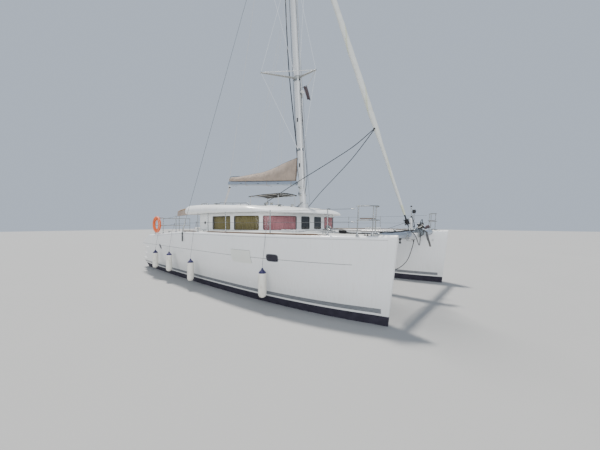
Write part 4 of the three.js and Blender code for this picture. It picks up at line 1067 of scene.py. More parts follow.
def wires():
    """The diamond wires over both sets of spreaders, and a shroud with its chainplate on each side."""
    build = Build()
    lower, upper = (spreader_tips(*row[1:]) for row in SPREADERS)
    wire = 0.0058

    def on_mast(k, z):
        dx, dy = [(-0.03, -MAST_WIDE - 0.003), (-0.03, MAST_WIDE + 0.003), (MAST_LONG + 0.004, 0)][k]
        return Vector((mast_x(z) + dx, dy, z))

    for k in range(3):
        for a, b in ((on_mast(k, 5.0), lower[k]), (lower[k], on_mast(k, 12.42)), (on_mast(k, 8.05), upper[k]),
                     (upper[k], on_mast(k, 16.9))):
            build.tube([a, b], wire, 8)
        for a, b in ((on_mast(k, 5.0), lower[k]), (on_mast(k, 8.05), upper[k])):
            way = (b - a).normalized()
            build.tube([a + way * d for d in (0.02, 0.05, 0.22, 0.25)], [0.006, 0.010, 0.010, 0.006], 12)
    build.piece("diamond_wires", "boat", "steel", ["wire_pale"], 40)

    plate = [(-0.028, 1.5), (-0.028, 1.8), (-0.018, 1.815), (0.018, 1.815), (0.028, 1.8), (0.028, 1.5),
             (0.015, 1.482), (-0.015, 1.482)]
    for name, sign in SIDES.items():
        stays = Build()
        out = HULL_Y + at(OUT, CHAIN_X)
        foot = Vector((CHAIN_X, sign * (out + 0.016), 1.78))
        head = Vector((mast_x(16.9), sign * (MAST_WIDE + 0.008), 16.9))
        way = (head - foot).normalized()
        near, far = sign * (out + 0.008), sign * (out + 0.021)
        stays.loft([[(CHAIN_X + dx, y, z) for dx, z in plate] for y in (near, far)], 2)
        for z in (1.52, 1.62, 1.71):
            stays.turn([(0, 0), (0.012, 0), (0.010, 0.006), (0, 0.008)], (CHAIN_X, far, z), (0, sign, 0), 12,
                       1)
        # Toggle, turnbuckle, its upper screw and the wire
        stays.tube([foot, foot + way * 0.1], 0.013, 14, 1)
        stays.tube([foot + way * d for d in (0.1, 0.11, 0.125, 0.40, 0.415, 0.43)],
                   [0.008, 0.018, 0.021, 0.021, 0.018, 0.008], 16, 1)
        stays.tube([foot + way * d for d in (0.42, 0.44, 0.58)], [0.007, 0.010, 0.008], 14, 1)
        stays.tube([foot + way * 0.5, head], 0.0055, 10, 0)
        stays.piece(f"stay_{name}", "boat", "steel", ["wire_dark", "steel", "black"], 35, [f"shroud_{name}"])


def halyards():
    """Lines by the mast. Each row is a height, how far off the mast it runs, and its place across."""
    black, white = Build(), Build()
    back = lambda *rows: [Vector((mast_x(z) - MAST_LONG - out, y, z)) for z, out, y in rows]
    front = lambda *rows: [Vector((mast_x(z) + MAST_LONG + out, y, z)) for z, out, y in rows]
    # The main halyard drops from the masthead behind the mast to the boom's root
    bundle = back((19.38, 0.08, 0.0), (16, 0.15, 0.01), (10.8, 0.30, 0.03), (8.3, 0.28, 0.03),
                  (6, 0.12, 0.02), (5.05, 0.035, 0.006), (4.78, 0.0, 0.0))
    black.tube(curve(bundle, 8), 0.014, 8)
    black.tube(curve([p + Vector((-0.004, -0.022, 0)) for p in bundle], 8), 0.008, 8)
    black.tube(back((16.5, 0.02, -0.03), (9, 0.035, -0.04), (4.2, 0.02, -0.05), (3.62, -0.10, -0.085)), 0.009,
               8)
    black.tube(front((12.3, 0.01, -0.03), (8.2, 0.05, -0.035), (5.5, 0.05, -0.03), (3.9, 0.02, -0.035),
                     (3.35, -0.05, -0.075)), 0.006, 8)
    # A heavier line falls from the light on the mast to the foot, standing off in its middle
    black.tube(curve(front((7.78, 0.03, -0.02), (7.3, 0.085, -0.06), (6.7, 0.07, -0.05), (5.2, 0.12, -0.05),
                           (3.83, 0.165, -0.06), (3.25, 0.03, -0.07)), 8), 0.010, 8)
    white.tube(front((16.7, 0.012, 0.03), (9, 0.06, 0.04), (4.2, 0.012, 0.05), (3.3, -0.07, 0.08)), 0.006, 8)
    black.piece("halyards_dark", "boat", "rope", ["rope_black"], 60)
    white.piece("halyards_light", "boat", "rope", ["rope_white"], 60)


# Boom, with the stowed sail in its cover
BOOM_WAY = (BOOM_END - GOOSE).normalized()
BOOM_LONG = (BOOM_END - GOOSE).length
BOOM_UP = Vector((BOOM_WAY.z, 0, -BOOM_WAY.x))
BOOM_UP = BOOM_UP if BOOM_UP.z > 0 else -BOOM_UP


def on_boom(distance, y, up):
    """A point by its distance from the gooseneck, its place across and its height over the boom's line."""
    return GOOSE + BOOM_WAY * distance + BOOM_UP * up + Vector((0, y, 0))


def boom():
    """The spar with its eye on the gooseneck, bails and sheaves for the lines, and a block at its end."""
    build = Build()

    def ring(distance, wide, high):
        power = lambda v: copysign(abs(v) ** 0.6, v)
        return [on_boom(distance, wide * power(cos(a)), high * power(sin(a))) for a in turns(36)]

    build.loft([ring(*row) for row in ((0.11, 0.066, 0.085), (0.13, 0.072, 0.095), (0.17, 0.075, 0.1),
                                       (BOOM_LONG - 0.04, 0.075, 0.1), (BOOM_LONG - 0.01, 0.07, 0.09),
                                       (BOOM_LONG, 0.055, 0.07))])
    spin = Vector((0, 0, 1)).rotation_difference(MAST_WAY).to_matrix()
    hole = even([(0.016, 0.0447), (0.032, 0.0447), (0.034, 0.042)])
    build.loft([[GOOSE + spin @ Vector((r * cos(a), r * sin(a), h)) for a in turns(28)] for r, h in hole], 1,
               closed=True)
    build.block((GOOSE.x - 0.14, -0.022, GOOSE.z - 0.034), (GOOSE.x - 0.026, 0.022, GOOSE.z + 0.034), 0.006,
                1)
    # End casting with sheaves, bails for the sheet, and plates on the sides
    for y in (-0.035, 0.0, 0.035):
        build.turn(even([(0, 0.008), (0.03, 0.008), (0.024, 0)]), on_boom(BOOM_LONG - 0.004, y, -0.02),
                   (0, 1, 0), 18, 2)
    bail = [(-0.07, -0.06), (-0.06, -0.12), (-0.025, -0.15), (0.025, -0.15), (0.06, -0.12), (0.07, -0.06)]
    for distance in (BOOM_LONG - 0.35, BOOM_LONG - 0.62, 1.6):
        build.tube([on_boom(distance, y, up) for y, up in bail], 0.006, 8, 1)
    tilt = Matrix.Rotation(atan2(BOOM_WAY.z, -BOOM_WAY.x), 4, "Y")
    for y in (-0.0785, 0.0785):
        for distance in (1.1, 2.4, 3.7):
            low, high = sorted((y * 0.9, y))
            build.block((-0.06, low, -0.012), (0.06, high, 0.012), 0.003, 2,
                        Matrix.Translation(on_boom(distance, 0, -0.02)) @ tilt)
    # A larger pale sheave block hung from the end
    build.turn(even([(0, 0.02), (0.045, 0.02), (0.05, 0.014)]), on_boom(BOOM_LONG - 0.05, 0, -0.145),
               (0, 1, 0), 24, 3)
    # The boom takes the beam's blue-grey: painted shade and sky reflection over a white spar
    build.piece("boom_spar", "boom", "alloy", ["beam", "steel", "black", "gelcoat"], 35, ["boom"])


COVER = [(0.17, 0.93, 0.055), (0.45, 0.85, 0.09), (0.9, 0.73, 0.125), (1.5, 0.56, 0.14), (2.25, 0.39, 0.14),
         (3.2, 0.29, 0.125), (4.0, 0.235, 0.11), (4.35, 0.222, 0.09), (4.6, 0.215, 0.065), (4.7, 0.19, 0.045),
         (4.75, 0.13, 0.03)]
COVER_FOOT, COVER_FILL = 0.1015, 0.985


def cover_size(distance):
    """The sail cover's height and half breadth."""
    for (a, h0, w0), (b, h1, w1) in zip(COVER, COVER[1:]):
        if distance <= b:
            t = (distance - a) / (b - a)
            return h0 + (h1 - h0) * t, w0 + (w1 - w0) * t
    return COVER[-1][1:]


def sail_cover():
    """The canvas bag over the sail: sagging folds between its battens and a zip along its top."""
    build = Build()
    half_ring = curve([(0.62, -0.005, 0), (0.93, 0.04, 0), (1.0, 0.2, 0), (0.96, 0.45, 0), (0.72, 0.68, 0),
                       (0.42, 0.86, 0), (0.16, 0.97, 0), (0.02, 1.0, 0)], 4)
    first, last = COVER[0][0], COVER[-1][0]
    random.seed(11)
    folds = [(random.uniform(0.2, 4.8), random.uniform(0.1, 0.9), random.uniform(0.006, 0.02),
              random.uniform(0.05, 0.16), random.uniform(-1.6, 1.6)) for _ in range(46)]

    def sag(distance, end):
        """How far the top hangs between the lines that hold it, fading out towards both ends."""
        return (0.012 * sin((distance - 0.2) * 2.9) * min(1, (distance - first) / 0.4)
                * min(1, (end - distance) / 0.3))

    rings = []
    for distance in spaced(first, last, 90):
        height, half = cover_size(distance)
        ring = []
        for sign in (-1, 1):
            row = []
            for w, h, _ in half_ring:
                push = 0.0
                for centre, level, deep, wide, slope in folds:
                    along = distance - centre - slope * (h - level) * 0.5
                    push += (deep * exp(-(along / wide) ** 2) * exp(-((h - level) / 0.3) ** 2)
                             * sin(along * 26 + level * 9))
                push *= 0.75 * min(1, h * 6)
                y = sign * max(0.004, half * w + push * (0.3 + w))
                up = max(0, height + sag(distance, last) * h) * h
                row.append(on_boom(distance, y, COVER_FOOT + up * COVER_FILL))
            ring.extend(row if sign < 0 else reversed(row))
        rings.append(ring)
    build.loft(rings)
    body = build.piece("sail_cover_canvas", "boom", "cover", ["cover"], 80, ["sail_cover"])

    # The dark edging: up the front, along the top, and along the foot at both sides
    trim = Build()
    marks = spaced(first, last - 0.02, 70)
    front = [on_boom(first - 0.004, 0.0, COVER_FOOT + cover_size(first)[0] * k / 8 * COVER_FILL)
             for k in range(8)]
    spine = [on_boom(d, 0.0, COVER_FOOT + (cover_size(d)[0] + sag(d, last - 0.02)) * COVER_FILL)
             for d in marks]
    trim.tube(front + spine, 0.0135, 8, 0, flat=0.7)
    for sign in (-1, 1):
        trim.tube([on_boom(d, sign * max(0.03, cover_size(d)[1] * 0.63), 0.103) for d in marks], 0.009, 8, 0)
    # Straps under the boom
    under = [(-0.084, -0.02), (-0.06, -0.106), (0.06, -0.106), (0.084, -0.02)]
    for distance in (0.34, 1.8, 3.3):
        height, half = cover_size(distance)
        left, right = (on_boom(distance, sign * half * 0.9, 0.1 + height * 0.05) for sign in (-1, 1))
        trim.tube(curve([left, *(on_boom(distance, y, up) for y, up in under), right], 4), 0.006, 8, 1)
    trim.piece("sail_cover_trim", "boom", "rope", ["cover_edge", "cover"], 60)

    # The outhaul from the boom's end to the sail under the cover
    outhaul = Build()
    dark = [(BOOM_LONG - 0.02, 0, 0.085), (4.785, 0, 0.24), (4.72, 0, 0.325), (4.4, 0, 0.345),
            (3.95, 0, 0.352)]
    pale = [(BOOM_LONG - 0.05, -0.04, 0.08), (4.76, -0.06, 0.2), (4.62, -0.085, 0.255), (4.25, -0.105, 0.26)]
    outhaul.tube(curve([on_boom(*row) for row in dark], 5), 0.010, 8, 0)
    outhaul.tube(curve([on_boom(*row) for row in pale], 5), 0.009, 8, 1)
    outhaul.piece("outhaul", "boom", "rope", ["rope_black", "rope_white"], 60)

    # Lazy lines that hold the cover up, and the topping lift
    lines = Build()
    for sign in (-1, 1):
        for distance in (1.15, 2.75):
            height, half = cover_size(distance)
            start = on_boom(distance, sign * half * 0.8, 0.1 + height * 0.62)
            stop = Vector((mast_x(11.8) - 0.17, sign * 0.05, 11.8))
            lines.tube([start, stop], 0.0035, 8)
    held = lines.piece("lazy_lines", None, "rope", ["rope_white"], 60)
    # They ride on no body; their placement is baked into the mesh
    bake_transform(held)
    lift = Build()
    lift.tube([on_boom(BOOM_LONG - 0.02, 0, 0.09), Vector((mast_x(19.35) - 0.22, 0, 19.36))], 0.006, 8)
    lift.piece("topping_lift", "boom", "rope", ["rope_white"], 60)


# Rolled headsail on its stay, with the furler
def on_stay(z):
    """A point on the headsail's stay at a height."""
    return Vector((STAY_FOOT[0] + STAY_RAKE * (STAY_FOOT[1] - z), 0, z))


def headsail():
    """The sail rolled on its stay, its furler and its sheets."""
    way = Vector((-STAY_RAKE, 0, 1)).normalized()
    start = on_stay(STAY_FOOT[1])
    across = Vector((0, 1, 0))
    up = way.cross(across)
    length, twist, lap = 14.45, 2.6, 5.6
    # Distance along the stay and the roll's radius there
    table = [(0, 0.030), (0.12, 0.036), (0.7, 0.045), (2.3, 0.055), (2.9, 0.085), (4.0, 0.096), (8.0, 0.098),
             (12.0, 0.080), (14.2, 0.055), (length, 0.02)]

    def size(s):
        for (a, r0), (b, r1) in zip(table, table[1:]):
            if s <= b:
                return r0 + (r1 - r0) * (s - a) / (b - a)
        return table[-1][1]

    build = Build()
    sides, rows = 36, 190
    rings = []
    for i in range(rows + 1):
        s = length * i / rows
        ring = []
        for a in turns(sides):
            wrap = (a - s * twist) % (2 * pi)
            radius = size(s) * (0.93 + 0.075 * wrap / (2 * pi))
            radius *= 1 + 0.03 * sin(s * 9 + 3 * a) * sin(s * 3.1 + a)
            ring.append(start + way * s + across * radius * cos(a) + up * radius * sin(a))
        rings.append(ring)

    def edge_cloth(row, k):
        s = length * row / rows
        wrap = (2 * pi * k / sides - s * twist) % (2 * pi)
        return 1 if wrap > lap or s < 0.3 else 0

    build.loft(rings, edge_cloth)
    build.tube([start + way * 14.3, on_stay(16.95)], 0.008, 10, 2)
    build.turn([(0, 0), (0.03, 0), (0.034, 0.02), (0.034, 0.15), (0.028, 0.18), (0.012, 0.2), (0, 0.2)],
               start + way * 14.46, way, 18, 3)
    build.piece("headsail_roll", "boat", "sail", ["sail", "sail_tint", "wire", "black"], 50, ["headsail"])

    furler = Build()
    drum = on_stay(STAY_FOOT[1] - 0.33)
    shape = [(0, -0.028), (0.016, -0.028), (0.016, 0.055), (0.078, 0.058), (0.085, 0.062), (0.085, 0.072),
             (0.08, 0.078), (0.055, 0.084), (0.052, 0.09), (0.052, 0.174), (0.056, 0.18), (0.08, 0.186),
             (0.085, 0.191), (0.085, 0.198), (0.08, 0.202), (0.032, 0.206), (0.026, 0.22), (0.022, 0.24),
             (0.022, 0.345), (0, 0.3455)]
    furler.turn(shape, drum, way, 36)
    # The furling line: layers of 60 steps on the drum, 20 steps a turn, and its lead aft
    spool = []
    for i in range(260):
        a = i * 2 * pi / 20
        radius = 0.056 + 0.002 * (i // 60)
        spool.append(drum + way * (0.094 + 0.076 * abs(((i / 60) % 2) - 1)) + across * radius * cos(a)
                     + up * radius * sin(a))
    furler.tube(spool, 0.0045, 6, 1)
    furler.tube([drum + way * 0.12 + across * -0.06, (4.95, -0.19, 1.93), (3.3, -0.26, 1.92),
                 (2.6, -0.55, 1.9)], 0.0045, 6, 1)
    for turn in (0.4, 2.5, 4.6):
        side = across * cos(turn) + up * sin(turn)
        furler.tube([drum + way * along + side * out
                     for along, out in ((0.03, 0.02), (0.03, 0.092), (0.23, 0.092), (0.23, 0.028))],
                    0.004, 8, 2)
    furler.piece("furler", "boat", "drive", ["black", "rope_black", "steel"], 35, ["furler_drum"])

    # Sheets from the clew to the roof
    clew = on_stay(5.06) + Vector((-0.03, -0.085, 0))
    sheets = Build()
    for path in ([clew, (3.908, -0.201, 4.634), (3.087, -0.356, 4.223), (1.651, -0.628, 3.56),
                  (0.42, -0.86, 2.955)],
                 [clew + Vector((0, 0.03, 0)), (3.605, 0.249, 4.39), (2.687, 0.583, 3.89),
                  (1.768, 0.916, 3.41), (0.85, 1.25, 2.865)]):
        sheets.tube(curve(path, 10), 0.0125, 10)
    sheets.turn(even([(0, 0.03), (0.02, 0.028), (0.028, 0.01)]), clew, (1, 0, 0.2), 12)
    sheets.piece("headsail_sheets", "boat", "rope", ["rope_black"], 60)


# Foredeck gear
def spot_on_deck(x, out, sign, up=0.0):
    """A point on a hull's deck: out is measured outboard from the hull's centreline."""
    width = at(OUT, x) if out > 0 else at(INNER, x)
    share = min(1.0, abs(out) / max(width, 0.01))
    return Vector((x, sign * (HULL_Y + out), at(SHEER, x) + CAMBER * (1 - share) + up))


def post(build, foot, top, radius=PIPE):
    """A stanchion with its socket."""
    foot, top = Vector(foot), Vector(top)
    way = (top - foot).normalized()
    build.tube([foot, top], radius, 14)
    build.turn([(0, -0.012), (0.034, -0.012), (0.036, -0.006), (0.036, 0.002), (0.034, 0.005), (0.021, 0.008),
                (0.018, 0.014), (0.0175, 0.075), (0.015, 0.082), (0, 0.082)], foot, way, 20)


def crossbeam():
    """The forward beam with its clamps, the post under the stay, two pad eyes and a fitting below."""
    build = Build()
    half, radius = HULL_Y - at(INNER, BEAM_X) + 0.012, 0.092
    build.loft([[(BEAM_X + radius * cos(a), y, BEAM_Z + radius * sin(a)) for a in turns(44)]
                for y in (-half, -half + 0.05, -0.4, 0.4, half - 0.05, half)])
    for sign in (-1, 1):
        for y in (half - 0.085, 0.5, 0.11):
            build.turn(even([(0.0905, 0.03), (0.097, 0.028), (0.099, 0.02)]), (BEAM_X, sign * y, BEAM_Z),
                       (0, sign, 0), 44, 1)
    low = on_stay(BEAM_Z + 0.06)
    seat = on_stay(STAY_FOOT[1] - 0.33) - Vector((-STAY_RAKE, 0, 1)).normalized() * 0.0285
    build.tube([low, low.lerp(seat, 0.55), seat], [0.045, 0.032, 0.024], 20, 1)
    for y in (-1.2, 1.2):
        build.block((BEAM_X - 0.03, y - 0.05, BEAM_Z + 0.08), (BEAM_X + 0.03, y + 0.05, BEAM_Z + 0.115),
                    0.008, 1)
        build.tube([(BEAM_X, y + dy, BEAM_Z + dz) for dy, dz in ((-0.09, 0.135), (0, 0.127), (0.09, 0.135))],
                   [0.007, 0.011, 0.007], 12, 1)
        for dy in (-0.03, 0.03):
            build.tube([(BEAM_X, y + dy, BEAM_Z + dz) for dz in (0.1, 0.128)], 0.008, 10, 1)
    # A fitting hung under the beam
    y = -0.83
    build.block((BEAM_X - 0.035, y - 0.03, BEAM_Z - 0.125), (BEAM_X + 0.035, y + 0.03, BEAM_Z - 0.085), 0.008,
                2)
    build.tube([(BEAM_X, y, BEAM_Z - 0.11), (BEAM_X, y, BEAM_Z - 0.20)], [0.020, 0.014], 14, 2)
    build.turn(even([(0, 0.02), (0.022, 0.018), (0.028, 0.006)]), (BEAM_X, y, BEAM_Z - 0.205), (0, 1, 0), 20,
               2)
    build.piece("forward_beam", "boat", "alloy", ["beam", "steel", "black"], 35, ["crossbeam"])


def bow_lights():
    """Two light posts and a short stub by the anchor, with a strap between the posts."""
    build = Build()
    x, tall, short = 5.50, 0.36, 0.63
    up = (0, 0, 1)
    for y, top in ((tall, 2.60), (short, 2.42)):
        build.tube([(x, y, 1.87), (x, y, top)], 0.0135, 14)
        build.turn([(0, 0), (0.034, 0), (0.036, 0.006), (0.034, 0.012), (0.02, 0.016), (0.018, 0.05),
                    (0.0135, 0.054)], (x, y, 1.872), up, 20)
    build.turn([(0, 0), (0.022, 0), (0.026, 0.008), (0.026, 0.032), (0.02, 0.042), (0, 0.044)],
               (x, tall, 2.595), up, 22, 1)
    build.block((x - 0.045, short - 0.045, 2.415), (x + 0.045, short + 0.045, 2.53), 0.014, 1, segments=3)
    build.turn([(0, 0), (0.03, 0), (0.032, 0.004), (0.026, 0.012), (0, 0.014)], (x + 0.044, short, 2.475),
               (1, 0, 0), 20, 2)
    build.turn([(0, 0), (0.033, 0), (0.033, 0.34), (0.030, 0.362), (0.018, 0.372), (0, 0.374)],
               (x + 0.05, 0.16, 1.876), up, 24, 3)
    build.piece("bow_lights", "boat", "steel", ["steel", "black", "dark_glass", "gelcoat"], 35)
    strap = Build()
    strap.tube(curve([(x + 0.018, tall, 2.30), (x + 0.03, 0.44, 2.19), (x + 0.03, 0.54, 2.08),
                      (x + 0.018, short, 2.00)], 6), 0.012, 8, flat=0.5)
    for y, z in ((tall, 2.30), (short, 2.0)):
        strap.tube([(x + 0.019 * cos(k * 1.2), y + 0.019 * sin(k * 1.2), z - 0.018 + 0.0022 * k)
                    for k in range(17)], 0.0065, 6)
    strap.piece("bow_light_strap", "boat", "rope", ["black"], 60)


def centre_beam():
    """The beam from the foredeck to the bow, with the anchor's roller between its cheeks."""
    build = Build()
    half, side_y, roller_z = 0.14, 0.084, BEAM_Z + 0.056
    build.block((3.052, -half, 1.64), (BEAM_X + 0.22, half, 1.83), 0.03, segments=4)
    build.block((BEAM_X - 0.06, -half, 1.60), (BEAM_X + 0.06, half, 1.70), 0.02, segments=3)
    cheek = curve([(BEAM_X + dx, z, 0)
                   for dx, z in ((0.10, 1.66), (0.22, 1.70), (0.345, 1.795), (0.352, 1.86), (0.335, 1.925),
                                 (0.22, 1.948), (0.11, 1.95))], 4)
    for side in (-1, 1):
        y = side_y + side * 0.044
        build.loft([[(x, y + dy, z) for x, z, _ in cheek] for dy in (-0.006, 0.006)], 1)
    build.turn(even([(0.008, 0.038), (0.038, 0.038), (0.022, 0.012), (0.02, 0)]),
               (BEAM_X + 0.3, side_y, roller_z), (0, 1, 0), 28, 2)
    # The roller's pin, and the keeper across the cheeks' tops
    for x, z, radius, sides in ((BEAM_X + 0.3, roller_z, 0.009, 14), (BEAM_X + 0.2, 1.925, 0.006, 12)):
        build.tube([(x, side_y - 0.056, z), (x, side_y + 0.056, z)], radius, sides, 1)
    # Pad below the beam, where the bridle starts
    build.block((5.66, -0.152, 1.634), (5.74, -0.072, 1.645), 0.003, 1, segments=1)
    # Walking strip
    for x in (3.4, 4.1, 4.8):
        build.block((x, -0.135, 1.827), (x + 0.55, 0.03, 1.834), 0.002, 3, segments=1)
    build.piece("bow_spine", "boat", "alloy", ["alloy", "steel", "black", "deck"], 35, ["centre_beam"])


def anchor():
    """The anchor in its roller, its chain, and the lines and worn cover heaped on it."""
    build = Build()
    y0, rx, rz = 0.084, BEAM_X + 0.3, BEAM_Z + 0.056
    low, heel = rz + 0.0385, 5.15
    shank = [(heel, low), (rx + 0.05, low), (rx + 0.125, low - 0.07), (rx + 0.15, low - 0.04),
             (rx + 0.06, low + 0.028), (heel + 0.02, low + 0.026), (heel, low + 0.02)]
    build.loft([[(x, y0 + dy, z) for x, z in shank] for dy in (-0.011, 0.011)])
    # Sections of the fluke: height from the roller, aft and fore edges, half breadth
    rows = [(-0.4, 0.19, 0.24, 0.006), (-0.34, 0.184, 0.232, 0.045), (-0.28, 0.172, 0.217, 0.088),
            (-0.22, 0.15, 0.19, 0.122), (-0.15, 0.135, 0.18, 0.105), (-0.08, 0.115, 0.165, 0.075),
            (-0.02, 0.10, 0.15, 0.05)]
    rings = []
    for up, aft, fore, half in rows:
        z, edge_x = rz + up, rx + aft
        knee, back = edge_x + (fore - aft) * 0.55, edge_x + 0.010 + (fore - aft) * 0.3
        rings.append([(edge_x, y0 - half, z + half * 0.3), (knee, y0 - half * 0.55, z + half * 0.1),
                      (rx + fore, y0, z), (knee, y0 + half * 0.55, z + half * 0.1),
                      (edge_x, y0 + half, z + half * 0.3), (back, y0 + half * 0.5, z + 0.01 + half * 0.2),
                      (edge_x + 0.014, y0, z + 0.012), (back, y0 - half * 0.5, z + 0.01 + half * 0.2)])
    build.loft(rings)
    build.tube([(heel, y0 - 0.02, low + 0.012), (heel, y0 + 0.02, low + 0.012)], 0.008, 12)
    build.piece("anchor_iron", "boat", "galvanised", ["anchor_dark"], 40, ["anchor"])
    # Chain from the shank back to the windlass
    links, pitch = Build(), 0.034
    path = curve([(heel - 0.02, y0, low + 0.010), (4.7, y0 - 0.02, 1.872), (3.7, 0.06, 1.868),
                  (3.0, 0.05, 1.92), (2.78, 0.075, 1.955)], 30)
    walk = [path[0]]
    for p in path[1:]:
        while (p - walk[-1]).length > pitch:
            walk.append(walk[-1] + (p - walk[-1]).normalized() * pitch)
    for i, (a, b) in enumerate(zip(walk, walk[1:])):
        way = (b - a).normalized()
        side = way.cross(Vector((0, 0, 1))).normalized()
        if i % 2:
            side = way.cross(side).normalized()
        loop = [(a + b) / 2 + way * 0.025 * cos(turn) + side * 0.0125 * sin(turn) for turn in turns(10)]
        links.tube(loop, 0.0045, 6, closed=True)
    links.piece("anchor_chain", "boat", "galvanised", ["galvanised"], 60)
    # Bridle ends and lashing, heaped in loops at the roller
    clutter, heap = Build(), Build()
    for number in range(6):
        target = clutter if number % 3 == 1 else heap
        middle = Vector((5.84 + 0.015 * (number % 3 - 1), 0.03 + 0.012 * number, 1.975 + 0.022 * number))
        loop = []
        for turn in turns(26):
            size = 0.088 - 0.006 * number + 0.012 * sin(turn * 3 + number)
            loop.append(middle + Vector((size * cos(turn) * 0.9, size * sin(turn) * 1.25,
                                         0.024 * sin(turn * 2 + number * 2) + 0.02 * cos(turn + number))))
        target.tube(loop, 0.0115, 8, closed=True)
    heap.tube([(5.86 + 0.02 * sin(a), 0.05 + 0.095 * cos(a), 2.10 + 0.115 * sin(a)) for a in turns(26)],
              0.010, 8, closed=True)
    # The roll of worn cover over the shank
    roll = []
    for k in range(30):
        s = k / 29
        size = 0.052 * sin(pi * min(0.93, max(0.07, s))) ** 0.5
        centre = Vector((5.93 + 0.13 * s, 0.11 + 0.035 * sin(s * 3), 1.955 + 0.06 * sin(s * 2.2)))
        roll.append([centre + Vector((0.012 * sin(a * 2 + k), size * cos(a),
                                      size * 0.9 * sin(a) + 0.006 * sin(a * 5 + k * 0.7)))
                     for a in turns(18)])
    heap.loft(roll, 1)
    # Line that hangs in a loop ahead of the beam
    heap.tube(curve([(5.80, -0.07, 1.99), (5.875, -0.115, 1.86), (5.88, -0.13, 1.66), (5.86, -0.15, 1.50),
                     (5.83, -0.19, 1.60), (5.78, -0.22, 1.76), (5.66, -0.20, 1.90)], 8), 0.0095, 8)
    clutter.piece("anchor_line_coil", "boat", "rope", ["rope_white"], 60)
    heap.piece("anchor_lashing", "boat", "rope", ["rope_black", "mauve"], 60)


def nets():
    """Open nets: cords both ways, inside a hem that is lashed to the hulls and beams."""
    fore, aft, spine, height, mesh_size = BEAM_X - 0.15, 3.10, 0.18, 1.7775, 0.06

    def reach(x):
        return HULL_Y - side_at(x, height, INNER) - 0.05

    for name, sign in SIDES.items():
        net = Build()

        def cord(points, lift, radius, sides, closed=False):
            net.tube([(x, sign * y, height + lift) for x, y in points], radius, sides, closed=closed)

        x = aft
        while x <= fore + 0.001:
            cord([(x, y) for y in spaced(spine, reach(x), 3)], 0, 0.0021, 4)
            x += mesh_size
        y = spine
        while y < reach(fore):
            stops = [stop for stop in spaced(aft, fore, 8) if reach(stop) >= y - 0.0001]
            if len(stops) > 1:
                cord([(stop, y) for stop in stops], 0.003, 0.0021, 4)
            y += mesh_size
        cord([(aft, spine), (fore, spine), *[(x, reach(x)) for x in spaced(fore, aft, 10)]], 0, 0.007, 8,
             True)
        # Lashings, one along each edge, from the hem to what holds it
        out = lambda k, far: far if k % 2 else 0.0
        for lace in ([(x, reach(x) + out(k, 0.042)) for k, x in enumerate(spaced(fore, aft, 70))],
                     [(fore + out(k, 0.055), y) for k, y in enumerate(spaced(spine, reach(fore), 44))],
                     [(x, spine - out(k, 0.034)) for k, x in enumerate(spaced(aft, fore, 70))],
                     [(aft - out(k, 0.044), y) for k, y in enumerate(spaced(spine, reach(aft), 50))]):
            cord(lace, 0.004, 0.0028, 5)
        net.piece(f"bow_net_{name}", "boat", "net", ["net"], 60, [f"trampoline_{name}"])


def windlass():
    """The anchor's windlass: a base, a drum on end and a gypsy at its side."""
    build = Build()
    x, z = 2.7, DECK + 0.002
    build.block((2.565, -0.11, z), (2.86, 0.11, z + 0.045), 0.018, segments=3)
    build.turn([(0, 0), (0.078, 0), (0.08, 0.01), (0.078, 0.05), (0.06, 0.06), (0.05, 0.066), (0.046, 0.082),
                (0.05, 0.098), (0.072, 0.106), (0.076, 0.12), (0.068, 0.14), (0.03, 0.148), (0, 0.148)],
               (x, 0, z + 0.042), (0, 0, 1), 36)
    build.turn([(0, 0), (0.052, 0), (0.054, 0.02), (0.036, 0.034), (0.034, 0.06), (0.05, 0.072),
                (0.052, 0.082), (0, 0.084)], (x, 0.066, z + 0.118), (0, 1, 0), 28)
    build.piece("anchor_winch", "boat", "steel", ["steel"], 35, ["windlass"])


# Rails
WIRES_UP = (RAIL - 0.012, RAIL * 0.5)
STANCHIONS = [4.76, 3.29, 1.6, 0.66, 0.03, -1.59]
PULPIT = [(5.39, -2.86), (5.64, -2.68), (5.56, -2.37)]
PUSHPIT = (-2.76, -3.56)


def rail_at(x, up, sign):
    """A point over the rail's feet, by its height over the sheer."""
    return Vector((x, sign * edge(x, RAIL_IN), at(SHEER, x) + up))


def rails():
    """Stanchions with two wires through them, and the gate amidships."""
    gate, wire = (0.66, 0.03), 0.0042
    # Where each run of wire passes, and how far it hangs there
    runs = [[(5.33, 0), (4.76, 0), (4.02, 0.012), (3.29, 0), (2.45, 0.012), (1.6, 0), (gate[0], 0)],
            [(gate[0], 0), (0.345, 0.006), (gate[1], 0)],
            [(gate[1], 0), (-0.78, 0.010), (-1.59, 0), (-2.2, 0.010), (-2.72, 0)]]
    for name, sign in SIDES.items():
        build = Build()
        for x in STANCHIONS:
            post(build, rail_at(x, 0.012, sign), rail_at(x, RAIL, sign))
            build.turn([(0, 0), (0.0145, 0), (0.016, 0.006), (0.011, 0.015), (0, 0.018)],
                       rail_at(x, RAIL - 0.003, sign), (0, 0, 1), 16)
            for up in WIRES_UP:
                build.turn(even([(0.0125, 0.008), (0.0165, 0.006)]), rail_at(x, up, sign), (0, 0, 1), 14)
        for up in WIRES_UP:
            for run in runs:
                build.tube([rail_at(x, up - sag, sign) for x, sag in run], wire, 8, 1)
            # Terminals
            for a, b in ((5.33, 4.76), (-2.72, -1.59), gate):
                start, stop = rail_at(a, up, sign), rail_at(b, up, sign)
                way = (stop - start).normalized()
                build.tube([start, *(start + way * d for d in (0.01, 0.09, 0.1))],
                           [0.005, 0.008, 0.008, 0.005], 10)
        build.piece(f"guard_lines_{name}", "boat", "steel", ["steel", "wire_dark"], 35,
                    [f"guard_rail_{name}"])


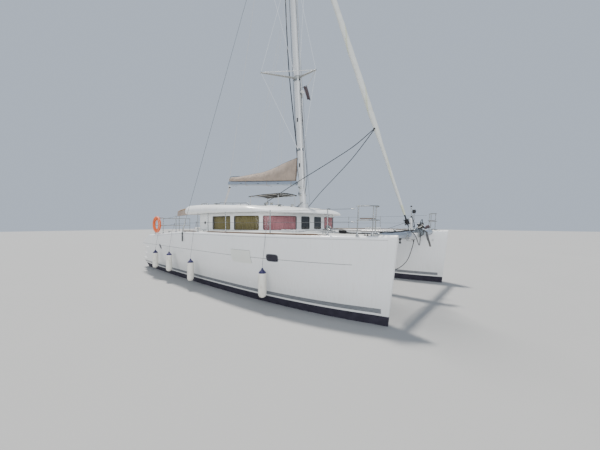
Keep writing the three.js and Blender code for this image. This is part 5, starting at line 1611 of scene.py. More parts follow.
def pulpits():
    """The bow rails with a seat across the corner, and the rails at the quarters."""
    foot_end = even([(0, 0.013), (0.013, 0.008), (0.014, 0)])
    rail_end = even([(0, 0.014), (0.013, 0.009), (0.0145, 0)])
    for name, sign in SIDES.items():
        build = Build()
        flip = lambda x, y, z: Vector((x, -sign * y, z))
        for x, y in PULPIT:
            post(build, flip(x, y, at(SHEER, x) + 0.015), flip(x + 0.03, y, DECK + 0.61), PIPE)
        for z in (DECK + 0.62, DECK + 0.33):
            ring = curve([flip(x, y, z)
                          for x, y in ((5.40, -2.875), (5.62, -2.76), (5.72, -2.60), (5.68, -2.44),
                                       (5.57, -2.345))], 8)
            build.tube(ring, PIPE, 14)
            for end in (ring[0], ring[-1]):
                build.turn(foot_end, end, (0, 0, 1), 14)
        corners = ((5.43, -2.83), (5.64, -2.70), (5.60, -2.46), (5.42, -2.60))
        build.loft([[flip(x, y, DECK + up) for x, y in corners] for up in (0.352, 0.372)], 1)
        build.piece(f"pulpit_tubes_{name}", "boat", "steel", ["steel", "wood"], 35, [f"pulpit_{name}"])
        aft = Build()
        fore_x, aft_x = PUSHPIT
        out, inner = -edge(fore_x, RAIL_IN), -2.05
        for x, y in ((fore_x, out), (aft_x, out), (aft_x, inner)):
            post(aft, flip(x, y, at(SHEER, x) + 0.012), flip(x, y, 2.318))
        for z in (2.32, 2.02):
            bend = [flip(x, y, z)
                    for x, y in ((fore_x, out), (aft_x + 0.12, out), (aft_x + 0.035, out + 0.012),
                                 (aft_x + 0.008, out + 0.045), (aft_x, out + 0.13), (aft_x, inner))]
            aft.tube([bend[0], bend[1], *curve(bend[1:5], 5)[1:], bend[5]], PIPE, 14)
            for end in (bend[0], bend[-1]):
                aft.turn(rail_end, end, (0, 0, 1), 14)
        aft.piece(f"pushpit_tubes_{name}", "boat", "steel", ["steel"], 35, [f"pushpit_{name}"])


def lifebuoy():
    """The ring with its reflective bands and grab line, hung from the rail by two straps."""
    build = Build()
    rail_y, around = -edge(-3.2, RAIL_IN), 72
    centre = Vector((-3.2, rail_y - 0.0755, 2.06))
    way = Vector((0.05, -1, 0)).normalized()
    side = way.cross(Vector((0, 0, 1))).normalized()
    up = side.cross(way)
    rings, slots = [], []
    for a in turns(around):
        out = side * cos(a) + up * sin(a)
        band = abs(((a + pi / 4) % (pi / 2)) - pi / 4) < 0.05
        slots.append(1 if band else 0)
        grow = 0.0025 if band else 0.0
        rings.append([centre + out * (0.260 + (0.0775 + grow) * cos(b)) + way * (0.047 + grow) * sin(b)
                      for b in turns(22)])
    build.loft(rings, lambda row, i: slots[row] if slots[row] == slots[(row + 1) % around] else 0,
               closed=True)
    line = []
    for a in turns(64):
        slack = abs(sin(2 * (a + pi / 4) + pi / 2))
        line.append(centre + (side * cos(a) + up * sin(a)) * (0.3345 - 0.010 * slack)
                    + way * (0.022 + 0.02 * slack))
    build.tube(line, 0.0045, 8, 2, closed=True)
    build.piece("lifebuoy_ring", "boat", "orange", ["orange", "white_band", "rope_white"], 50, ["lifebuoy"])
    hold = Build()
    for x in (-3.34, -3.06):
        hold.tube(curve([(x, rail_y + 0.014, 2.345), (x, rail_y - 0.02, 2.345),
                         (x + 0.01, rail_y - 0.085, 2.345), (x + 0.01, rail_y - 0.135, 2.27),
                         (x + 0.01, rail_y - 0.130, 2.1)], 5), 0.004, 8)
    hold.piece("lifebuoy_straps", "boat", "rope", ["rope_black"], 60)


FENDERS = [(3.24, 0.31, RAIL * 0.5, RAIL_IN - 0.006), (-0.06, 0.25, RAIL * 0.5, RAIL_IN - 0.006),
           (-1.7, 0.36, RAIL * 0.5, RAIL_IN - 0.006), (-3.0, 0.34, 0.006, 0.06)]


def fenders():
    """Four fenders with their eyes and lines, and a hitch with its tail where one is tied to a rail."""
    barrel = [(0, 0.0), (0.02, 0.002), (0.03, 0.012), (0.052, 0.014), (0.074, 0.030), (0.090, 0.058),
              (0.099, 0.095), (0.1, 0.14), (0.1, 0.33), (0.1, 0.50), (0.099, 0.565), (0.094, 0.595)]
    head = [(0.0945, 0.588), (0.09, 0.606), (0.078, 0.632), (0.058, 0.652), (0.036, 0.668), (0.028, 0.690),
            (0.02, 0.718), (0.012, 0.722), (0, 0.722)]
    seam = [(0.0935, 0.583), (0.0952, 0.588), (0.0935, 0.594)]
    for number, (x, foot, tie_up, tie_in) in enumerate(FENDERS, 1):
        build = Build()
        out, deck = -edge(x), at(SHEER, x)
        y = out - 0.106
        for shape, slot in ((barrel, 0), (head, 1), (seam, 1)):
            build.turn(shape, (x, y, foot), (0, 0, 1), 40, slot)
        line = curve([(x, y, foot + 0.695), (x, y + 0.006, foot + 0.80),
                      (x + 0.004, out - 0.018, deck - 0.07), (x, out - 0.012, deck + 0.004),
                      (x, out + tie_in * 0.5, deck + max(0.02, tie_up * 0.5)),
                      (x, out + tie_in, deck + tie_up)], 5)
        build.tube(line, 0.0048, 8, 2)
        if tie_up > 0.1:
            knot = Vector((x, out + tie_in, deck + tie_up))
            build.tube([knot + Vector((0.014 * cos(k * 1.25), 0.012 * sin(k * 1.25), 0.004 * k - 0.012))
                        for k in range(14)], 0.0055, 8, 2)
            build.tube([knot, knot + Vector((0.02, 0.004, -0.06)), knot + Vector((0.022, 0.0, -0.13))],
                       0.0055, 8, 2)
        build.piece(f"fender_body_{number}", "boat", "fender", ["fender", "navy", "rope_grey"], 50,
                    [f"fender_{number}"])


BRIDLE = [(5.70, -0.112, 1.6394), (5.70, -0.112, 1.58), (5.705, -0.30, 1.386), (5.705, -0.672, 1.127),
          (5.70, -1.44, 1.003), (5.695, -1.95, 1.09), (5.68, -2.27, 1.43), (5.68, -2.27, 1.4994)]
BRIDLE_RADIUS = 0.011


def bridle():
    """The slack anchor bridle: three twisted strands, so that the lay shows."""
    line = curve(BRIDLE, 24)
    length = sum((b - a).length for a, b in zip(line, line[1:]))
    lay = 0.075
    build = Build()
    build.tube(line, BRIDLE_RADIUS * 0.62, 8)
    for strand in range(3):
        points, side, travelled = [], None, 0.0
        for i, point in enumerate(line):
            way = (line[min(i + 1, len(line) - 1)] - line[max(i - 1, 0)]).normalized()
            side = way.orthogonal() if side is None else side - way * side.dot(way)
            side = side.normalized()
            if i:
                travelled += (point - line[i - 1]).length
            turn = travelled / lay * 2 * pi + strand * 2 * pi / 3
            points.append(point + (side * cos(turn) + way.cross(side) * sin(turn)) * BRIDLE_RADIUS * 0.45)
        build.tube(points, BRIDLE_RADIUS * 0.55, 8)
    rope = build.piece("bridle_line", "boat", "rope", ["rope_black"], 70, ["bridle_rope"])
    ends = Build()
    whipping = [(BRIDLE_RADIUS * 0.8, 0), (0.0165, 0.004), (0.0165, 0.05), (BRIDLE_RADIUS * 0.8, 0.056)]
    ends.turn(whipping, Vector(BRIDLE[0]) - Vector((0, 0.001, 0.062)), (0, 0.02, 1), 16)
    ends.turn(whipping, Vector(BRIDLE[-1]) - Vector((0, 0, 0.060)), (0, 0, 1), 16)
    whip = ends.piece("bridle_whippings", "boat", "rope", ["black"], 60)
    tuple(BRIDLE[0])
    [tuple(p) for p in line]


# Hull trim
def hull_skin(x, z, sign, out=0.0):
    """A point on the outboard topsides."""
    return Vector((lean(x, z), sign * (HULL_Y + side_at(x, z) + out), z))


def portlight(build, sign, centre, level, half, high, power):
    """A pane in a raised frame on the hull. The power makes its outline an ellipse, or squarer."""
    oval = lambda share, grow: ((half + grow) * (1 - abs(share) ** power) ** (1 / power),
                                (high + grow) * share)
    place = lambda p, lift: hull_skin(centre + p[0], level + p[1], sign, lift)
    shares = [sin(radians(90) * k / 12) for k in range(-12, 13)]
    pane = []
    for share in shares:
        wide, up = oval(share, 0.004)
        line = [(wide * k / 8, up) for k in range(-8, 9)]
        pane.append([place(p, 0.003) for p in line] + [place(p, -0.004) for p in reversed(line)])
    build.loft(pane, 1)
    outlines = []
    for grow in (0.016, 0.0):
        right = [oval(share, grow) for share in shares]
        outlines.append([*right, *[(-wide, up) for wide, up in reversed(right[1:-1])]])
    outer, inner = outlines
    crest = [((p[0] + q[0]) / 2, (p[1] + q[1]) / 2) for p, q in zip(outer, inner)]
    build.loft([[place(p, lift) for p in row]
                for row, lift in ((outer, -0.004), (outer, 0.005), (crest, 0.009), (inner, 0.0055),
                                  (inner, -0.004))], 4, caps=False, closed=True)


def hull_trim():
    """The strake, the lines, the small windows, the faded panel and the outlets on each hull's side."""
    for name, sign in SIDES.items():
        build = Build()
        # Wooden rubbing strake along the deck's edge, with the gate's gap
        for start, stop in ((4.76, 0.60), (0.02, -1.0)):
            rings = []
            count = int((start - stop) / 0.12)
            for i, x in enumerate(spaced(start, stop, count)):
                end = min(1.0, 12 * min(i, count - i) / count + 0.25)
                y, z = edge(x, 0.055), at(SHEER, x)
                section = ((0.018, -0.004), (0.016, 0.026 * end), (0.008, 0.034 * end), (-0.008, 0.034 * end),
                           (-0.016, 0.026 * end), (-0.018, -0.004))
                rings.append([(x, sign * (y + dy * end), z + dz) for dy, dz in section])
            build.loft(rings)
        # A dark strip along the crease, painted shadow of its small step, and a thin dark line just below the
        # deck's rounded edge
        for start, stop, count, half, lift, level in (
                (5.3, -5.0, 119, 0.005, 0.0012, lambda x: KNUCKLE),
                (5.95, -3.5, 79, 0.003, 0.001, lambda x: at(SHEER, x) - 0.075)):
            band = ((-half, lift), (half, lift), (half, -0.006), (-half, -0.006))
            build.loft([[hull_skin(x, level(x) + dz, sign, out) for dz, out in band]
                        for x in spaced(start, stop, count)], 1)
        build.piece(f"strake_{name}", "boat", "wood", ["wood", "line"], 30)
        fittings = Build()
        # Long portlight forward, and a small oval one aft
        for centre, level, half, high, power in (
                (3.37, 1.26, 0.165, 0.08, 4.4), (-2.98, 1.18, 0.058, 0.085, 2.0)):
            portlight(fittings, sign, centre, level, half, high, power)
        # A faded panel amidships, with a thin dark seam along its top and forward edges
        x0, x1, z0, z1, corner = 1.90, 2.66, 1.05, 1.40, 0.02
        grid = []
        for z in (z0, z0 + corner, 1.12, 1.18, KNUCKLE, 1.28, 1.34, z1 - corner, z1):
            lost = corner if z in (z0, z1) else 0.0
            line = spaced(x0 + lost, x1 - lost, 12)
            grid.append([hull_skin(x, z, sign, 0.0016) for x in line]
                        + [hull_skin(x, z, sign, -0.003) for x in reversed(line)])
        fittings.loft(grid, 3)
        seam = [*[(x, z1) for x in spaced(x0 + corner, x1 - corner, 10)], (x1 - 0.006, z1 - 0.006),
                *[(x1, z) for z in spaced(z1 - corner, z0 + corner, 8)]]
        fittings.tube([hull_skin(x, z, sign, 0.0012) for x, z in seam], 0.0035, 6, 4)
        # Outlets low on the side
        for x, z in ((2.4, 0.52), (0.6, 0.5), (-2.4, 0.62)):
            fittings.turn([(0.010, -0.01), (0.022, -0.002), (0.022, 0.004), (0.018, 0.008), (0.010, 0.006)],
                          hull_skin(x, z, sign), (0, sign, 0), 18, 0)
        fittings.piece(f"portlights_{name}", "boat", "gelcoat",
                       ["gelcoat", "portlight", "steel", "panel", "line"], 35)


def cleat(build, place, turn=0.0, size=1.0, slot=0):
    """A horned cleat on two legs."""
    spin = Matrix.Translation(place) @ Matrix.Rotation(turn, 4, "Z") @ Matrix.Scale(size, 4)
    point = lambda x, y, z: spin @ Vector((x, y, z))
    build.tube([point(-0.13, 0, 0.062), point(-0.09, 0, 0.055), point(0, 0, 0.050), point(0.09, 0, 0.055),
                point(0.13, 0, 0.062)],
               [0.006 * size, 0.011 * size, 0.014 * size, 0.011 * size, 0.006 * size], 12, slot)
    for x in (-0.045, 0.045):
        build.tube([point(x, 0, 0), point(x, 0, 0.05)], [0.014 * size, 0.010 * size], 12, slot)
    build.block((-0.075, -0.022, -0.004), (0.075, 0.022, 0.006), 0.004, slot, spin)


def winch(build, place):
    """A halyard winch that stands on the roof."""
    build.turn([(0, 0), (0.085, 0), (0.085, 0.015), (0.06, 0.035), (0.052, 0.06), (0.050, 0.11),
                (0.062, 0.135), (0.066, 0.15), (0.066, 0.165), (0.05, 0.172), (0.02, 0.174), (0.018, 0.165),
                (0, 0.165)], place, (0, 0, 1), 32)


def deck_gear():
    """Cleats and fairleads, and the rope that is led over the beam to the anchor's roller."""
    metal, lines = Build(), Build()
    cleat_x, cleat_out = 4.85, 0.02
    for sign in (-1, 1):
        for x, out in ((4.55, 0.33), (4.35, -0.32), (0.3, 0.93), (-2.35, 0.93)):
            cleat(metal, spot_on_deck(x, out, sign, 0.002), 0.06 if out > 0.5 else 0.3 * sign)
        # Bow fairlead, and the mooring fitting at the bow's outer edge
        metal.tube([spot_on_deck(5.66, 0.06, sign, up) + Vector((dx, 0, 0))
                    for dx, up in ((-0.09, 0.02), (0, 0.03), (0.09, 0.02))], 0.011, 12)
        cleat(metal, spot_on_deck(5.52, 0.20, sign), 0.25 * sign, 0.8, 1)
        if sign < 0:
            cleat(metal, spot_on_deck(cleat_x, cleat_out, sign, 0.002), 0.1, 0.85, 1)
    # Rope from a cleat at the starboard bow over the beam, and its turns on that cleat
    sign = -1
    on_deck = ((cleat_x, cleat_out, 0.05), (5.05, 0.0, 0.016), (5.3, -0.11, 0.016), (5.46, -0.22, 0.02))
    on_beam = ((5.60, 2.1, BEAM_Z + 0.101), (5.61, 1.5, BEAM_Z + 0.098), (5.61, 0.8, BEAM_Z + 0.098),
               (5.61, 0.3, BEAM_Z + 0.101), (5.70, 0.12, 1.90))
    lines.tube(curve([spot_on_deck(x, out, sign, up) for x, out, up in on_deck]
                     + [Vector((x, sign * y, z)) for x, y, z in on_beam], 8), 0.014, 8)
    centre = spot_on_deck(cleat_x, cleat_out, sign, 0.022)
    for ring in range(4):
        loop = []
        for a in turns(24):
            size = 0.062 + 0.007 * (ring % 2) + 0.004 * sin(3 * a + ring)
            loop.append(centre + Vector((size * 1.35 * cos(a), size * 0.6 * sin(a),
                                         0.017 * ring + 0.004 * sin(2 * a + ring * 1.7))))
        lines.tube(loop, 0.009, 8, closed=True)
    metal.piece("deck_cleats", "boat", "steel", ["steel", "black"], 35)
    lines.piece("deck_ropes", "boat", "rope", ["rope_black"], 60)
    nonskid()


def nonskid():
    """Non-skid panels on the decks, the cockpit's floor and the steps, with smooth margins between."""
    pads = Build()
    lift, sunk = 0.0035, -0.01
    for sign in (-1, 1):
        for start, stop in ((5.25, 3.68), (2.68, 1.1), (1.0, -0.5), (-0.6, -2.1), (-2.2, -3.5)):
            rings = []
            for i, x in enumerate(spaced(start, stop, 14)):
                trim = 0.03 if i in (0, 14) else 0.0
                inner = -min(at(INNER, x) - 0.09, 0.46) if x > 3.0 else (-0.40 if x < 1.3 else 0.08)
                if -1.28 < x < 1.4:
                    inner = 0.42 if x < 0.7 else 0.42 - (x - 0.7) * 0.3
                outer = at(OUT, x) - 0.16
                stops = [inner + trim + (outer - inner - 2 * trim) * k / 8 for k in range(9)]
                rings.append([spot_on_deck(x, out, sign, lift) for out in stops]
                             + [spot_on_deck(x, out, sign, sunk) for out in reversed(stops)])
            pads.loft(rings)
    # Foredeck, cockpit floor and the port side deck by the helm: corners and heights
    flat = []
    for y0, y1 in ((-1.95, -1.05), (-0.95, -0.2), (0.2, 0.95), (1.05, 1.95)):
        flat.append((2.12, 2.52, y0, y1, 1.83, 1.8435))
        flat.append((2.60 if abs(y0 + y1) > 1 else 2.9, 2.98, y0, y1, 1.83, 1.8435))
    for x0, x1 in ((-4.35, -3.1), (-3.0, -1.75)):
        flat.append((x0, x1, -1.75, -0.1, 1.045, 1.0535))
        flat.append((max(x0, -4.0), x1, 0.0, 0.95, 1.045, 1.0535))
    flat.append((-2.5, -1.95, 1.25, 2.4, 1.72, 1.735))
    for x0, x1, y0, y1, z0, z1 in flat:
        pads.block((x0, y0, z0), (x1, y1, z1), 0.003, segments=1)
    for sign in (-1, 1):
        for (x, z), after in zip(TREADS, [*[t[0] for t in TREADS[1:]], STERN]):
            x0, x1 = after + 0.06, x - 0.05
            wide = min(0.84, side_at(x1, z - 0.01) - 0.06, side_at(x0, z - 0.01) - 0.06)
            low, high = sorted((sign * (HULL_Y - min(0.50, wide)), sign * (HULL_Y + wide)))
            pads.block((x0, low, z - 0.006), (x1, high, z + lift), 0.002, segments=1)
    pads.piece("nonskid_panels", "boat", "deck", ["pad"], 35)


def hung_coils():
    """Coils of line that hang from the cabin's aft corner."""
    build = Build()
    random.seed(21)
    for x, y, top, long, wide in ((-1.40, -2.60, 2.50, 0.52, 0.075), (-1.40, -2.47, 2.46, 0.40, 0.07)):
        for turn in range(5):
            shift = 0.012 * turn - 0.024
            loop = []
            for a in turns(30):
                waver = random.uniform(-0.003, 0.003)
                loop.append((x + shift * 0.8 + 0.006 * sin(a * 2 + turn),
                             y + (wide + 0.004 * turn) * sin(a) + waver,
                             top - long / 2 + (long / 2 + 0.006 * turn) * cos(a)))
            build.tube(loop, 0.0085, 8, closed=True)
        build.tube([(x + 0.03 * cos(k * 0.7), y + 0.055 * sin(k * 0.7), top - 0.12 + 0.006 * k)
                    for k in range(24)], 0.008, 8)
        build.tube([(x, y, top - 0.01), (x + 0.07, y, top + 0.02), (x + 0.115, y, top + 0.02)], 0.008, 8)
    build.piece("hung_coils", "boat", "rope", ["rope_black"], 60)


def deck_hatches():
    """A lid with a dark pane on each hull, and the coaming that it closes on."""
    middle, half_long, half_wide, corner, low = 3.31, 0.26, 0.24, 0.06, 1.906
    plan = []
    for cx, cy, turn in ((middle + half_long, half_wide, 0), (middle - half_long, half_wide, 90),
                         (middle - half_long, -half_wide, 180), (middle + half_long, -half_wide, 270)):
        ix, iy = cx + (corner if cx < middle else -corner), cy + (corner if cy < 0 else -corner)
        for k in range(7):
            a = radians(turn + 15 * k)
            plan.append((ix + corner * cos(a), iy + corner * sin(a)))
    for name, sign in SIDES.items():
        build = Build()
        y0 = sign * HULL_Y

        def rings(*rows):
            """The lid's plan, grown by a margin, at each height."""
            return [[(middle + (x - middle) * (1 + grow / half_long), y0 + y * (1 + grow / half_wide), z)
                     for x, y in plan] for grow, z in rows]

        build.loft(rings((0, low), (0, low + 0.018), (-0.004, low + 0.025), (-0.012, low + 0.028),
                         (-0.045, low + 0.028), (-0.047, low + 0.0255)))
        build.loft(rings((-0.050, low + 0.012), (-0.050, low + 0.0265), (-0.054, low + 0.0275)), 1)
        for dy in (-0.13, 0.13):
            build.block((3.09, y0 + dy - 0.014, low + 0.026), (3.16, y0 + dy + 0.014, low + 0.042), 0.006, 2)
            build.tube([(3.125, y0 + dy, low + 0.036), (3.125, y0 + dy + 0.03, low + 0.05)], 0.006, 10, 2)
            build.block((3.545, y0 + dy * 0.6 - 0.03, 1.9085), (3.583, y0 + dy * 0.6 + 0.03, 1.9195), 0.003,
                        0)
        build.tube([(3.584, y0 - 0.1195, 1.912), (3.584, y0 + 0.1195, 1.912)], 0.0088, 16, 0)
        build.piece(f"hatch_cover_{name}", f"hatch_{name}", "gelcoat", ["alloy", "dark_glass", "black"], 35,
                    [f"hatch_lid_{name}"])
        # The coaming below it, the fixed halves of the hinge, and the bridle's pad on the stem
        fixed = Build()
        fixed.loft(rings((0.0, 1.83), (0.0, 1.893), (-0.004, 1.899), (-0.035, 1.899), (-0.037, 1.895),
                         (-0.037, 1.83)), 0, caps=False, closed=True)
        fixed.loft(rings((-0.036, 1.852), (-0.036, 1.86)), 1)
        for side in (-1, 1):
            a, b = sorted((y0 + side * 0.1215, y0 + side * 0.159))
            fixed.block((3.575, a, 1.82), (3.597, b, 1.9205), 0.005, 0)
        a, b = sorted((sign * 2.37, sign * 2.255))
        fixed.block((5.655, a, 1.501), (5.695, b, 1.534), 0.005, 0)
        fixed.piece(f"hatch_coaming_{name}", "boat", "gelcoat", ["alloy", "black"], 35)


# Roof gear
def roof_gear():
    """Hand rails, hatches, winches, clutches, vents and tracks on the roof, and the lines led over it."""
    metal, moulded = Build(), Build()
    up = (0, 0, 1)
    foot = [(0, -0.003), (0.03, -0.003), (0.03, 0.004), (0.014, 0.008), (0, 0.008)]
    for x0, x1, y in ((0.9, -1.0, -2.12), (-1.35, -2.0, -2.35), (0.9, -1.0, 2.12)):
        line = []
        for k, x in enumerate(spaced(x0, x1, 4)):
            z = roof_top(x, y)
            on_foot = k in (0, 4)
            line.append(Vector((x, y, z + (0.0 if on_foot else 0.075))))
            if not on_foot:
                metal.tube([(x, y, z - 0.005), (x, y, z + 0.072)], 0.010, 12)
            metal.turn(foot, (x, y, z), up, 18)
        first, last = line[0], line[4]
        metal.tube(curve([first, first + Vector((-0.06, 0, 0.07)), *line[1:4], last + Vector((0.06, 0, 0.07)),
                          last], 8), PIPE, 14)
    # Clear hatches in low frames
    corner = 0.05
    for x, y, half in ((1.15, -0.95, 0.30), (1.15, 0.95, 0.30), (-0.3, -1.3, 0.28), (-0.3, 1.3, 0.28)):
        rings = []
        for grow, lift in ((0.03, -0.03), (0.03, 0.02), (0.02, 0.032), (-0.01, 0.034), (-0.014, 0.028)):
            ring = []
            for cx, cy, turn in ((1, 1, 0), (-1, 1, 90), (-1, -1, 180), (1, -1, 270)):
                for k in range(5):
                    a = radians(turn + 22.5 * k)
                    px = x + cx * (half + grow - corner) + corner * cos(a)
                    py = y + cy * (half + grow - corner) + corner * sin(a)
                    ring.append((px, py, roof_top(px, py) + lift))
            rings.append(ring)
        moulded.loft(rings)
        moulded.loft([[(px + (x - px) * 0.12, py + (y - py) * 0.12, z + dz) for px, py, z in rings[-1]]
                      for dz in (-0.006, 0.006)], 1)
        z = roof_top(x + half, y)
        moulded.block((x + half - 0.06, y - 0.02, z + 0.03), (x + half - 0.02, y + 0.02, z + 0.052), 0.006, 2)
    # Winches, clutches and the deck organisers behind the mast
    for y in (-0.62, -0.86, 0.62):
        winch(metal, (0.42, y, roof_top(0.42, y) - 0.004))
    for y in (-0.62, -0.68, -0.74, 0.56, 0.62):
        z = roof_top(0.78, y)
        moulded.block((0.70, y - 0.022, z - 0.004), (0.88, y + 0.022, z + 0.055), 0.008, 2)
        moulded.block((0.78, y - 0.009, z + 0.05), (0.92, y + 0.009, z + 0.075), 0.006, 2)
    for y in (-0.44, 0.44):
        z = roof_top(1.5, y)
        moulded.block((1.44, y - 0.07, z - 0.004), (1.52, y + 0.07, z + 0.035), 0.008, 3)
    # Mushroom vents
    vent = [(0, -0.004), (0.05, -0.004), (0.05, 0.02), (0.045, 0.03), (0.09, 0.035), (0.098, 0.045),
            (0.09, 0.06), (0.05, 0.075), (0, 0.08)]
    for x, y in ((1.75, -1.5), (1.75, 1.5), (-1.05, -2.2)):
        metal.turn(vent, (x, y, roof_top(x, y)), up, 32)
    # Tracks for the headsail's sheets, each with its car and block
    for y in (-1.15, 1.15):
        moulded.tube([(x, y, roof_top(x, y) + 0.012) for x in (0.95, 0.75, 0.55, 0.35, 0.15)], 0.014, 8, 2,
                     flat=0.8)
        z = roof_top(0.62, y)
        metal.block((0.56, y - 0.028, z + 0.012), (0.68, y + 0.028, z + 0.04), 0.006)
        metal.turn(even([(0.012, 0.018), (0.036, 0.014), (0.030, 0)]), (0.62, y, z + 0.085), (0, 1, 0), 24)
        for low, high in ((-0.02, -0.014), (0.014, 0.02)):
            metal.block((0.595, y + low, z + 0.03), (0.645, y + high, z + 0.125), 0.004)
    metal.piece("roof_metal", "boat", "steel", ["steel"], 35)
    moulded.piece("roof_fittings", "boat", "gelcoat", ["gelcoat", "dark_glass", "black", "alloy"], 35)
    ropes = Build()
    # Lines led from the mast's foot to the clutches: their places across at both ends
    for y0, y1 in ((-0.14, -0.62), (-0.17, -0.68), (-0.2, -0.74), (0.14, 0.56), (0.17, 0.62)):
        sign = -1 if y0 < 0 else 1
        over = lambda x, y, lift, at_y: (x, y, roof_top(x, at_y) + lift)
        path = [(1.66, y0, 2.93), over(1.56, y0 * 1.5 + sign * 0.08, 0.03, y0 * 1.5),
                over(1.48, sign * 0.44 + (y1 - sign * 0.62) * 0.4, 0.02, y1), over(1.1, y1, 0.016, y1),
                over(0.86, y1, 0.02, y1), over(0.62, y1, 0.018, y1), over(0.5, y1 + 0.03, 0.07, y1)]
        ropes.tube(curve(path, 6), 0.005, 8, 0 if abs(y1) > 0.6 else 1)
    ropes.piece("roof_lines", "boat", "rope", ["rope_black", "rope_white"], 60)


def mainsheet():
    """The tackle from the boom's end to the bench's back."""
    track = Build()
    x, z = SHEET_FOOT.x, SHEET_FOOT.z
    track.block((x - 0.03, -0.85, z - 0.012), (x + 0.03, 0.85, z + 0.016), 0.006)
    track.block((x - 0.05, -0.06, z + 0.014), (x + 0.05, 0.06, z + 0.046), 0.01, 1)
    track.piece("sheet_track", "boat", "alloy", ["black", "steel"], 35)
    tackle = Build()
    low = SHEET_FOOT + Vector((0, 0, 0.05))
    high = on_boom(BOOM_LONG - 0.10, 0, -0.17)
    way = (high - low).normalized()
    side = Vector((0, 1, 0))
    for centre, turn in ((low + way * 0.05, 1), (high - way * 0.05, -1)):
        for dy in (-0.022, 0.022):
            tackle.turn(even([(0, 0.009), (0.034, 0.009), (0.036, 0.006)]), centre + side * dy, side, 22, 1)
        tackle.tube([centre - way * 0.055 * turn, centre], 0.007, 10, 2)
    for dy, dx in ((-0.026, 0.03), (-0.026, -0.03), (0.026, 0.03), (0.026, -0.03)):
        shift = Vector((way.z, 0, -way.x)) * dx + side * dy
        tackle.tube([low.lerp(high, t) + way * (0.05 - 0.1 * t) + shift for t in (0, 0.25, 0.5, 0.75, 1)],
                    0.0075, 8)
    body = tackle.piece("mainsheet", None, "rope", ["rope_white", "black", "steel"], 50)
    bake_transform(body)


# Awning, bimini and helm
def cut_size(rows, column, row):
    """A cloth's cut size: the length of one of its columns and one of its rows, to the millimetre."""
    width = sum((b[column] - a[column]).length for a, b in zip(rows, rows[1:]))
    length = sum((b - a).length for a, b in zip(rows[row], rows[row][1:]))
    return round(width, 3), round(length, 3)


def awning():
    """The canvas behind the roof, tensed from the roof's lip to its bar."""
    build = Build()
    aft, low, high = -3.2, -2.75, 1.08
    bar_low, bar_high, bar_z = -2.704, 1.034, 2.5857
    across, along = 64, 22
    top = []
    for v in spaced(0, 1, across):
        y0 = low + (high - low) * v
        arch = 0.08 * (1 - (2 * v - 1) ** 2)
        start, middle, end = 2.692 + arch * 0.6, 2.712 + arch, 2.612
        share = (start - ROOF_LOW) / roof_crown(-2.2)
        inset = next(a[0] + (b[0] - a[0]) * (share - a[2]) / (b[2] - a[2])
                     for a, b in zip(ROOF_ROWS[8:], ROOF_ROWS[9:]) if share <= b[2])
        fore = -2.2 + inset - 0.004
        row = []
        for u in spaced(0, 1, along):
            x = fore + (aft - fore) * u
            y = y0 + (0.035 * sin(pi * u) if v < 0.5 else -0.035 * sin(pi * u)) * abs(2 * v - 1) ** 6
            z = (1 - u) ** 2 * start + 2 * u * (1 - u) * (2 * middle - (start + end) / 2) + u * u * end
            z += 0.006 * sin(v * 44 + 3 * u) * sin(pi * u) + 0.004 * sin(v * 17 + u * 9)
            row.append(Vector((x, y, z)))
        top.append(row)
    thin = Vector((0, 0, 0.0018))
    build.loft([row + [p - thin for p in reversed(row)] for row in top])
    body = build.piece("awning_canvas", "boat", "canvas", ["awning"], 70, ["awning_canopy"])
    # Hems, and the loops that hold the canvas to its bar
    trim = Build()
    for row in (top[0], top[-1]):
        trim.tube([p - Vector((0, 0, 0.001)) for p in row], 0.005, 8)
    trim.tube([row[-1] - Vector((0, 0, 0.004)) for row in top], 0.0065, 8)
    trim.tube([row[0] - Vector((0.003, 0, 0.002)) for row in top], 0.005, 8)
    for row in top[::4]:
        trim.tube([row[-1] + Vector((0.02 * cos(a) + 0.004, 0, 0.023 * sin(a) - 0.016)) for a in turns(12)],
                  0.0028, 6, 1, closed=True)
    hem = trim.piece("awning_trim", "boat", "canvas", ["awning", "rope_white"], 60)
    cut_size(top, 11, 32)
    # A worn side cloth hangs from the starboard edge
    side_cloth = Build()
    grid = []
    for down in spaced(0, 1, 8):
        row = []
        for k in range(31):
            p = top[0][0].lerp(top[0][-1], k / 30)
            fold = sin(k * 0.62) + 0.5 * sin(k * 1.45 + 1.0)
            fall = (0.235 - 0.045 * k / 30) * down
            row.append(Vector((p.x, p.y - 0.004 - (0.004 + 0.011 * (1 + fold)) * down, p.z - 0.003 - fall)))
        grid.append(row)
    side_cloth.loft([row + [p + Vector((0, -0.002, 0)) for p in reversed(row)] for row in grid])
    worn = side_cloth.piece("awning_side_cloth", "boat", "canvas", ["cover"], 70)
    poles = Build()
    for y, foot in ((-2.69, at(SHEER, aft) + 0.012), (1.02, 1.052)):
        post(poles, (aft, y, foot), (aft, y, 2.585), 0.0135)
    poles.tube([(aft, bar_low, bar_z), (aft, bar_high, bar_z)], 0.0137, 16)
    for y in (bar_low, bar_high):
        poles.turn(even([(0, 0.008), (0.0145, 0.005)]), (aft, y, bar_z), (0, 1, 0), 16)
    poles.piece("awning_poles", "boat", "steel", ["steel"], 35, ["awning_frame"])


